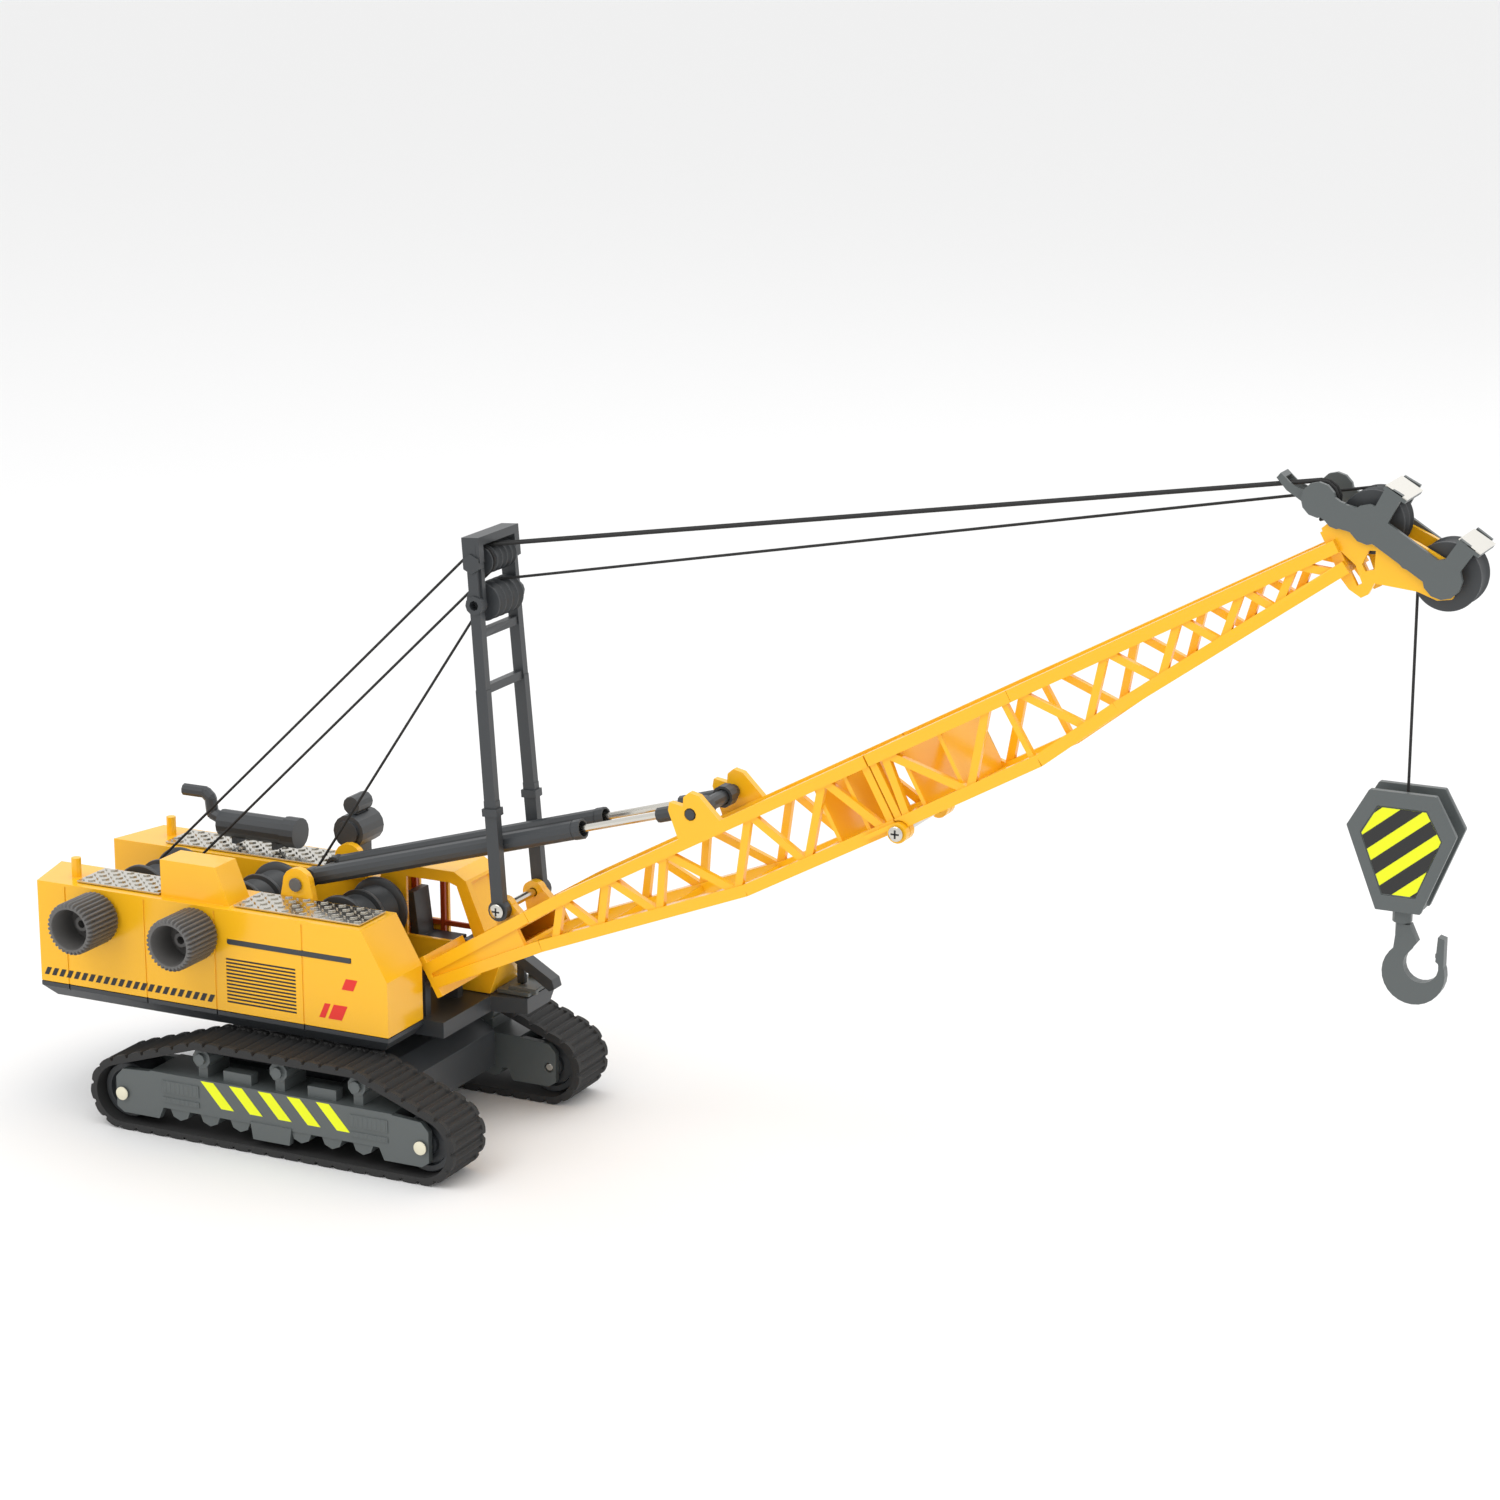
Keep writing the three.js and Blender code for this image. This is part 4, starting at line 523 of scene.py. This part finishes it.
class CRANE_OT_track_details(bpy.types.Operator):
    """Adds stripes, vents and pin caps to the track frames."""

    bl_idname = "crane.track_details"
    bl_label = "Track details"

    def execute(self, context):
        count = context.scene.crane_sizes.stripe_count
        for side, name in ((-1, "right"), (1, "left")):
            low, high = low_high("track_frame_" + name)
            centre, _ = mid("track_frame_" + name)
            face = (low[1] + 0.5) if side < 0 else (high[1] - 0.5)
            self.make_stripes(name, side, face, centre[0], count)
            self.make_vents(name, side, face, centre[0])
            for end in ("front", "rear"):
                self.make_cap(f"axle_{end}_{name}", side)
        return {"FINISHED"}

    def make_stripes(self, name, side, face, x, count):
        """Leaning stripes, printed on the plate."""
        parts = []
        for k in range(count):
            top = x - 29.2 + k * 12.3
            corners = [(top, face, 24.0), (top + 5.4, face, 24.0), (top + 14.0, face, 14.6),
                       (top + 8.6, face, 14.6)]
            parts.append(slab(corners, (0, side, 0), SMALL_LIFT))
        points, faces = combine(parts)
        add_mesh(f"stripes_{name}", points, faces, "stripe_bright", "undercarriage", False)

    def make_vents(self, name, side, face, x):
        """Short upright louvres, at both ends of the plate."""
        parts = []
        for start in (x - 45.5, x + 34.5):
            for k in range(8):
                left = start + 0.5 + k * 1.9
                y = sorted((face - 0.2 * side, face + 0.5 * side))
                parts.append(block(left, left + 0.9, *y, 17.5, 21.5))
                parts.append(block(left, left + 0.9, *y, 13.6, 15.2))
        points, faces = combine(parts)
        piece = add_mesh(f"vents_{name}", points, faces, "grey_plastic", "undercarriage", False)
        round_edges(piece, 0.12)

    def make_cap(self, node, side):
        """Pale domed cap on the outer end of an axle."""
        low, high = low_high(node)
        centre, _ = mid(node)
        outer = low[1] if side < 0 else high[1]
        profile = [(0.0, outer - 0.3 * side), (2.5, outer - 0.3 * side), (2.5, outer + 0.1 * side),
                   (2.1, outer + 0.35 * side), (0.0, outer + 0.45 * side)]
        points, faces = turned(profile, centre, 36)
        add_mesh(node + "_cap", points, faces, "pin_cream", "undercarriage")


class CRANE_OT_house_details(bpy.types.Operator):
    """Adds warning stripes, a slot bar, grille bars, plain marks and tread plate studs to the
    house.
    """

    bl_idname = "crane.house_details"
    bl_label = "House details"

    def execute(self, context):
        low, _ = low_high("housing_right")
        face, slew = low[1], mid("chassis")[0][0]
        self.make_hazard(face, slew)
        self.make_slot(face, slew)
        self.make_grille(face, slew)
        self.make_marks(face, slew)
        self.make_studs()
        return {"FINISHED"}

    def make_hazard(self, face, x):
        """Leaning black dashes along the foot of the right housing."""
        parts = []
        for k in range(23):
            foot = x - 108 + k * 3.3
            corners = [(foot, face, 48.9), (foot + 1.9, face, 48.9), (foot + 3.4, face, 51.8),
                       (foot + 1.5, face, 51.8)]
            parts.append(slab(corners, (0, -1, 0), SMALL_LIFT))
        points, faces = combine(parts)
        add_mesh("hazard_strip", points, faces, "mark_black", "house", False)

    def make_slot(self, face, x):
        """Dark bar with round ends, let into the side."""
        angle = np.linspace(-math.pi / 2, math.pi / 2, 9)
        right = np.stack([x + 25.8 + np.cos(angle), np.full(9, face), 73.2 + np.sin(angle)], axis=1)
        left = np.stack([x - 25 - np.cos(angle), np.full(9, face), 73.2 - np.sin(angle)], axis=1)
        points, faces = slab(np.concatenate([right, left]) + (0, 0.5, 0), (0, -1, 0), 0.75)
        piece = add_mesh("slot_bar", points, faces, "black_plastic", "house")
        round_edges(piece, 0.2)

    def make_grille(self, face, x):
        """Thin dark level bars."""
        parts = []
        for k in range(13):
            z = 49.85 + k * 1.36
            parts.append(block(x - 26.7, x + 2.9, face + 0.15, face + 0.4, z, z + 0.6))
        points, faces = combine(parts)
        add_mesh("grille_bars", points, faces, "mark_black", "house", False)

    def make_marks(self, face, x):
        """Three plain red leaning blocks, with no lettering."""
        parts = []
        for left, wide, low, high in ((22.5, 4.8, 62, 66.2), (12.7, 2.4, 50.2, 55.8),
                                      (16.5, 5.7, 50.2, 55.8)):
            lean = (high - low) * 0.45
            corners = [(x + left, face, low), (x + left + wide, face, low),
                       (x + left + wide + lean, face, high), (x + left + lean, face, high)]
            parts.append(slab(corners, (0, -1, 0), SMALL_LIFT))
        points, faces = combine(parts)
        add_mesh("side_marks", points, faces, "mark_red", "house", False)

    def make_studs(self):
        """Slim raised lozenges in staggered rows on each tread plate, leaning by turns."""
        for node in ("tread_right_rear", "tread_right_front", "tread_left"):
            low, high = low_high(node)
            top = low[2] + 0.7
            parts = [block(low[0], high[0], low[1], high[1], low[2], top)]
            columns = int((high[0] - low[0]) / 3.6)
            for i in range(columns):
                for j in range(5):
                    x = low[0] + (i + 0.5) * (high[0] - low[0]) / columns
                    y = low[1] + (j + 0.5) * (high[1] - low[1]) / 5
                    lean = math.radians(45 if (i + j) % 2 else -45)
                    long, wide = np.array((math.cos(lean), math.sin(lean), 0.0)), 0.42
                    across = np.array((-long[1], long[0], 0.0))
                    place = np.array((x, y, top))
                    corners = [place - 1.5 * long, place - wide * across, place + 1.5 * long,
                               place + wide * across]
                    parts.append(slab(corners, (0, 0, 1), 0.5))
            points, faces = combine(parts)
            piece = add_mesh(node + "_look", points, faces, "bright_metal", "house", False, (node,))
            round_edges(piece, 0.12)


class CRANE_OT_head_and_hook(bpy.types.Operator):
    """Adds pin ends, the rope guide and the hook block's striped panels."""

    bl_idname = "crane.head_and_hook"
    bl_label = "Head and hook"

    def execute(self, context):
        self.make_screws()
        self.make_guide()
        self.make_painted_flange_reflections()
        self.make_panels()
        return {"FINISHED"}

    def make_screws(self):
        """Round screw heads with a cross slot, on the pins of mast and fold."""
        places = [("mast_pin", "lower_boom", 2.7), ("fold_pin", "lower_boom", 2.6)]
        for node, body, radius in places:
            low, high = low_high(node)
            centre, _ = mid(node)
            parts = []
            for side, outer in ((-1, low[1]), (1, high[1])):
                profile = [(0.0, outer + 0.2 * -side), (radius, outer + 0.2 * -side),
                           (radius, outer), (radius - 0.5, outer + 0.35 * side),
                           (0.0, outer + 0.45 * side)]
                parts.append(turned(profile, centre, 40))
            points, faces = combine(parts)
            add_mesh(node + "_heads", points, faces, "bright_metal", body)
            slots = []
            for side, outer in ((-1, low[1]), (1, high[1])):
                y = sorted((outer + 0.2 * side, outer + 0.56 * side))
                for wide, tall in ((1.5, 0.3), (0.3, 1.5)):
                    slots.append(block(centre[0] - wide, centre[0] + wide, *y, centre[2] - tall,
                                       centre[2] + tall))
            points, faces = combine(slots)
            add_mesh(node + "_slots", points, faces, "mark_black", body, False)

    def make_guide(self):
        """Curved guide fin behind the rear sheave."""
        parts = []
        for y in (-8.3, -1.9):
            outline = [(380.4, 33.4), (382.4, 34.2), (384, 29.5), (387, 25.6), (390.3, 23.6),
                       (389, 20.4), (384.6, 23.2), (381.6, 28.4)]
            corners = [from_boom(x, z, y) for x, z in outline]
            parts.append(slab(corners, (0, 1, 0), 0.9 if y < -5 else 0.7))
        cross = [from_boom(x, z, -8.3) for x, z in
                 ((380.4, 33.4), (382.4, 34.2), (383.0, 32.4), (381.0, 31.4))]
        parts.append(slab(cross, (0, 1, 0), 7.1))
        points, faces = combine(parts)
        piece = add_mesh("rope_guide", points, faces, "grey_plastic", "upper_boom", False)
        round_edges(piece, 0.2)

    def make_painted_flange_reflections(self):
        """Painted reflection: pale metal strips along the two cross flanges of the boom head,
        standing in for the studio's white reflection on their glossy grey tops.
        """
        parts = []
        for x, z in ((414.2, 14.1), (428, -10.4)):
            outline = [(x - 2.1, z + 2.7), (x + 2.1, z - 4.3), (x + 2.4, z - 4.1),
                       (x - 1.8, z + 2.9)]
            corners = [from_boom(u, v, -10.1) for u, v in outline]
            parts.append(slab(corners, (0, 1, 0), 17.2))
        points, faces = combine(parts)
        # the strips are painted reflection, laid on the flange tops
        add_mesh("painted_flange_reflections", points, faces, "bright_metal", "upper_boom", False)

    def make_panels(self):
        """Bright panels with leaning dark bars on both faces of the hook block."""
        for side, name in ((-1, "right"), (1, "left")):
            low, high = low_high("block_" + name)
            centre, _ = mid("block_" + name)
            face = (low[1] if side < 0 else high[1]) - 0.5 * side
            top, x = high[2], centre[0]
            wide = [(10.9, 0.0), (18.0, 12.6), (7.4, 39.4)]
            scale, middle = 0.72, (high[2] - low[2]) / 2
            level = lambda drop: top - middle - (drop - middle) * scale
            shape = [(x + s * w * scale, level(d)) for s, w, d in
                     ((-1, *wide[2]), (1, *wide[2]), (1, *wide[1]), (1, *wide[0]),
                      (-1, *wide[0]), (-1, *wide[1]))]
            bottom = [(u, face, v) for u, v in shape]
            points, faces = slab(bottom, (0, side, 0), SMALL_LIFT)
            add_mesh(f"block_panel_{name}", points, faces, "stripe_bright", "hook_block", False)
            self.make_bars(name, side, face, shape, x, top)

    def make_bars(self, name, side, face, shape, x, top):
        """Leaning bars, cut to the panel's outline."""
        parts = []
        rise = math.tan(math.radians(side * -39))
        for k in range(-2, 3):
            centre = top - 18.6 + k * 10.6
            wide = 2.9
            bar = [(x - 30, centre - 30 * rise - wide), (x + 30, centre + 30 * rise - wide),
                   (x + 30, centre + 30 * rise + wide), (x - 30, centre - 30 * rise + wide)]
            cut = clip_polygon(bar, shape)
            if len(cut) > 2:
                corners = [(u, face + SMALL_LIFT * side, v) for u, v in cut]
                parts.append(slab(corners, (0, side, 0), 0.08))
        points, faces = combine(parts)
        add_mesh(f"block_bars_{name}", points, faces, "mark_black", "hook_block", False)


def clip_polygon(subject, window):
    """Cuts a polygon to a convex anticlockwise window, edge by edge."""
    result = list(subject)
    for k in range(len(window)):
        (ax, ay), (bx, by) = window[k], window[(k + 1) % len(window)]
        inside = lambda p: (bx - ax) * (p[1] - ay) - (by - ay) * (p[0] - ax)
        kept = []
        for i, point in enumerate(result):
            before = result[i - 1]
            a, b = inside(before), inside(point)
            if (a < 0) != (b < 0):
                share = a / (a - b)
                kept.append((before[0] + share * (point[0] - before[0]),
                             before[1] + share * (point[1] - before[1])))
            if b >= 0:
                kept.append(point)
        result = kept
        if not result:
            break
    return result


class CRANE_OT_ropes(bpy.types.Operator):
    """Makes the ropes as tubes along their routes."""

    bl_idname = "crane.ropes"
    bl_label = "Ropes"

    def execute(self, context):
        middle = FOOT[1]
        comb, large = mid("mast_sheave_small")[0], mid("mast_sheave_large")[0]
        head, guide = mid("sheave_mid")[0], mid("sheave_rear")[0]
        rear, front = mid("drum_rear")[0], mid("drum_front")[0]
        boom = ("mast_body", "lower_boom", "upper_boom")
        winch = ("mast_body", "lower_boom", "house")
        thin, thick = 0.5, 0.6
        hoist = [around(large, 6.2, middle + 2.1, 90), around(head, 9.9, middle + 2.35, 99)]
        self.make_rope("rope_hoist", thin, hoist, boom, ("rope_hoist",))
        for name, start, groove, rest in (("right", -3.3, -1.3, ("rope_pendant",)),
                                          ("left", 0.0, 1.3, ())):
            y = guide[1] + groove
            route = [around(comb, 4.7, middle + start, 90)]
            route += [around(guide, 5.5, y, turn) for turn in (100, 70, 40, 10, -20)]
            route += [around(guide, 6.7, y, -60), around(guide, 7.1, guide[1], -95)]
            self.make_rope("rope_pendant_" + name, thick, route, boom, rest)
        top = [around(comb, 4.9, middle - 6.6, turn) for turn in (-40, -15, 15, 45, 75, 105, 130)]
        self.make_rope("rope_luffing_upper", thin, top + [around(rear, 10.2, middle + 8, 126)],
                       winch, ("rope_luffing",))
        low = [around(comb, 4.9, middle - 6.6, turn) for turn in (-40, -50)]
        low.append(around(rear, 9.8, middle + 5, 40))
        self.make_rope("rope_luffing_lower", thin, low, winch, ())
        down = [around(large, 6.2, middle + 6.2, 184), around(front, 10.6, middle + 4, -34)]
        self.make_rope("rope_front", thin, down, winch, ("rope_front",))
        self.make_hook_rope(thin)
        return {"FINISHED"}

    def make_rope(self, name, radius, route, bodies, stands_for):
        """Two stretches that meet on the longest free span.

        Over the boom's fold the rope turns between two points, and on the winch side at one.
        """
        route = np.array(route)
        spans = np.linalg.norm(np.diff(route, axis=0), axis=1)
        at = int(spans.argmax())
        start, end = route[at], route[at + 1]
        near, link, far = bodies
        meets, leaves = (0.38, 0.5) if far == "upper_boom" else (0.5, 1.0)
        meeting, leaving = start + meets * (end - start), start + leaves * (end - start)
        first = [*route[:at + 1], meeting]
        second = [meeting, *([leaving] if leaves < 1 else []), *route[at + 1:]]
        for part, path, a, b, nodes in (("near", first, near, link, stands_for),
                                        ("far", second, link, far, ())):
            points, faces = tube(path, radius)
            piece = add_mesh(f"{name}_{part}", points, faces, "rope_fibre", None, stands_for=nodes)
            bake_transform(piece)

    def make_hook_rope(self, radius):
        """One straight fall from the top to the foot of the hook rope."""
        low, high = low_high("rope_hook")
        centre, _ = mid("rope_hook")
        top, foot = np.array((*centre[:2], high[2])), np.array((*centre[:2], low[2]))
        points, faces = tube([top, foot], radius)
        piece = add_mesh("rope_hook_look", points, faces, "rope_fibre", None,
                         stands_for=("rope_hook",))
        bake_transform(piece)


def around(centre, radius, y, degrees):
    """A point beside a sheave or drum, at an angle about its axis."""
    turn = math.radians(degrees)
    return np.array((centre[0] + radius * math.cos(turn), y, centre[2] + radius * math.sin(turn)))


class CRANE_OT_cab_inside(bpy.types.Operator):
    """Puts warm brown pillars and a cross bar in the cab: painted shade, standing in for the shaded
    inside of the yellow cab, its far wall and posts seen through the windows.
    """

    bl_idname = "crane.cab_inside"
    bl_label = "Cab painted shade"

    def execute(self, context):
        low, high = low_high("cab")
        parts = [
            block(low[0] + 1.9, low[0] + 3.6, low[1] + 2, high[1] - 2.2, 48, 62),
            block(low[0] + 2, low[0] + 4, low[1] + 2, low[1] + 4, 48, 88),
            block(low[0] + 2, low[0] + 4, high[1] - 4, high[1] - 2.2, 48, 88),
            block(low[0] + 14, low[0] + 16, high[1] - 3.6, high[1] - 2, 48, 88),
            block(low[0] + 2, low[0] + 28, high[1] - 3.4, high[1] - 2, 63, 65),
        ]
        points, faces = combine(parts)
        # the pillars and bar are painted shade of the cab's inside, not a lining
        piece = add_mesh("cab_painted_shade", points, faces, "cab_painted_shade", "house", False)
        round_edges(piece, 0.3)
        return {"FINISHED"}


class CRANE_OT_stage(bpy.types.Operator):
    """Sets up a pale floor, soft lights and the camera."""

    bl_idname = "crane.stage"
    bl_label = "Studio"

    def execute(self, context):
        self.make_floor()
        self.make_light("Key", (-0.5, -1.1, 1.5), 1.0, 7)
        self.make_light("Fill", (1.4, -0.9, 0.8), 1.2, 2)
        self.make_light("Back", (0.3, 1.2, 1.3), 1.4, 3)
        self.make_light("Top", (0.0, 0.0, 1.8), 1.6, 5)
        world = bpy.data.worlds.new("Studio")
        world.use_nodes = True
        sky = world.node_tree.nodes["Background"]
        sky.inputs["Color"].default_value = (1, 1, 1, 1)
        sky.inputs["Strength"].default_value = 1.0
        context.scene.world = world
        context.scene.view_settings.view_transform = "Standard"
        self.make_camera(context)
        return {"FINISHED"}

    def make_floor(self):
        """A large flat floor."""
        reach = 20.0
        points = [(-reach, -reach, 0), (reach, -reach, 0), (reach, reach, 0), (-reach, reach, 0)]
        data = bpy.data.meshes.new("floor")
        data.from_pydata(points, [], [[0, 1, 2, 3]])
        floor = bpy.data.objects.new("floor", data)
        bpy.context.scene.collection.objects.link(floor)
        paint = bpy.data.materials.new("floor_paint")
        paint.use_nodes = True
        shader = paint.node_tree.nodes["Principled BSDF"]
        shader.inputs["Base Color"].default_value = (0.86, 0.86, 0.86, 1)
        shader.inputs["Roughness"].default_value = 0.7
        data.materials.append(paint)

    def make_light(self, name, place, size, power):
        """A square lamp aimed at the middle of the crane."""
        lamp = bpy.data.lights.new(name, "AREA")
        lamp.size, lamp.energy = size, power
        light = bpy.data.objects.new(name, lamp)
        light.location = place
        aim = Vector((0, 0, 0.1)) - Vector(place)
        light.rotation_euler = aim.to_track_quat("-Z", "Y").to_euler()
        bpy.context.scene.collection.objects.link(light)

    def make_camera(self, context):
        lens = bpy.data.cameras.new("Camera")
        lens.lens, lens.sensor_width, lens.sensor_fit = CAMERA_LENS, 36.0, "HORIZONTAL"
        camera = bpy.data.objects.new("Camera", lens)
        camera.location = Vector(CAMERA_AT) * MM
        aim = (Vector(CAMERA_TO) - Vector(CAMERA_AT)) * MM
        camera.rotation_euler = aim.to_track_quat("-Z", "Y").to_euler()
        context.scene.collection.objects.link(camera)
        context.scene.camera = camera


class CRANE_PT_panel(bpy.types.Panel):
    """Lists the crane's steps."""

    bl_idname = "CRANE_PT_panel"
    bl_label = "Toy crawler crane"
    bl_space_type = "VIEW_3D"
    bl_region_type = "UI"
    bl_category = "Crane"

    def draw(self, context):
        for name in ("cleats", "cleat_height", "knob_ribs", "edge_round", "stripe_count"):
            self.layout.prop(context.scene.crane_sizes, name)
        for name in ("yellow", "grey", "black", "bright"):
            self.layout.prop(context.scene.crane_colours, name)
        for step in STEPS:
            self.layout.operator(step.bl_idname)


STEPS = (CRANE_OT_paint, CRANE_OT_turning, CRANE_OT_belts, CRANE_OT_track_details,
         CRANE_OT_house_details, CRANE_OT_head_and_hook, CRANE_OT_ropes, CRANE_OT_cab_inside,
         CRANE_OT_stage)
CLASSES = (CraneSizes, CraneColours, *STEPS, CRANE_PT_panel)


def register():
    for item in CLASSES:
        bpy.utils.register_class(item)
    bpy.types.Scene.crane_sizes = bpy.props.PointerProperty(type=CraneSizes)
    bpy.types.Scene.crane_colours = bpy.props.PointerProperty(type=CraneColours)


def unregister():
    del bpy.types.Scene.crane_colours
    del bpy.types.Scene.crane_sizes
    for item in reversed(CLASSES):
        bpy.utils.unregister_class(item)


def main():
    register()
    for step in STEPS:
        group, name = step.bl_idname.split(".")
        if getattr(getattr(bpy.ops, group), name)() != {"FINISHED"}:
            raise RuntimeError(step.bl_idname + " did not finish")


if __name__ == "__main__":
    main()
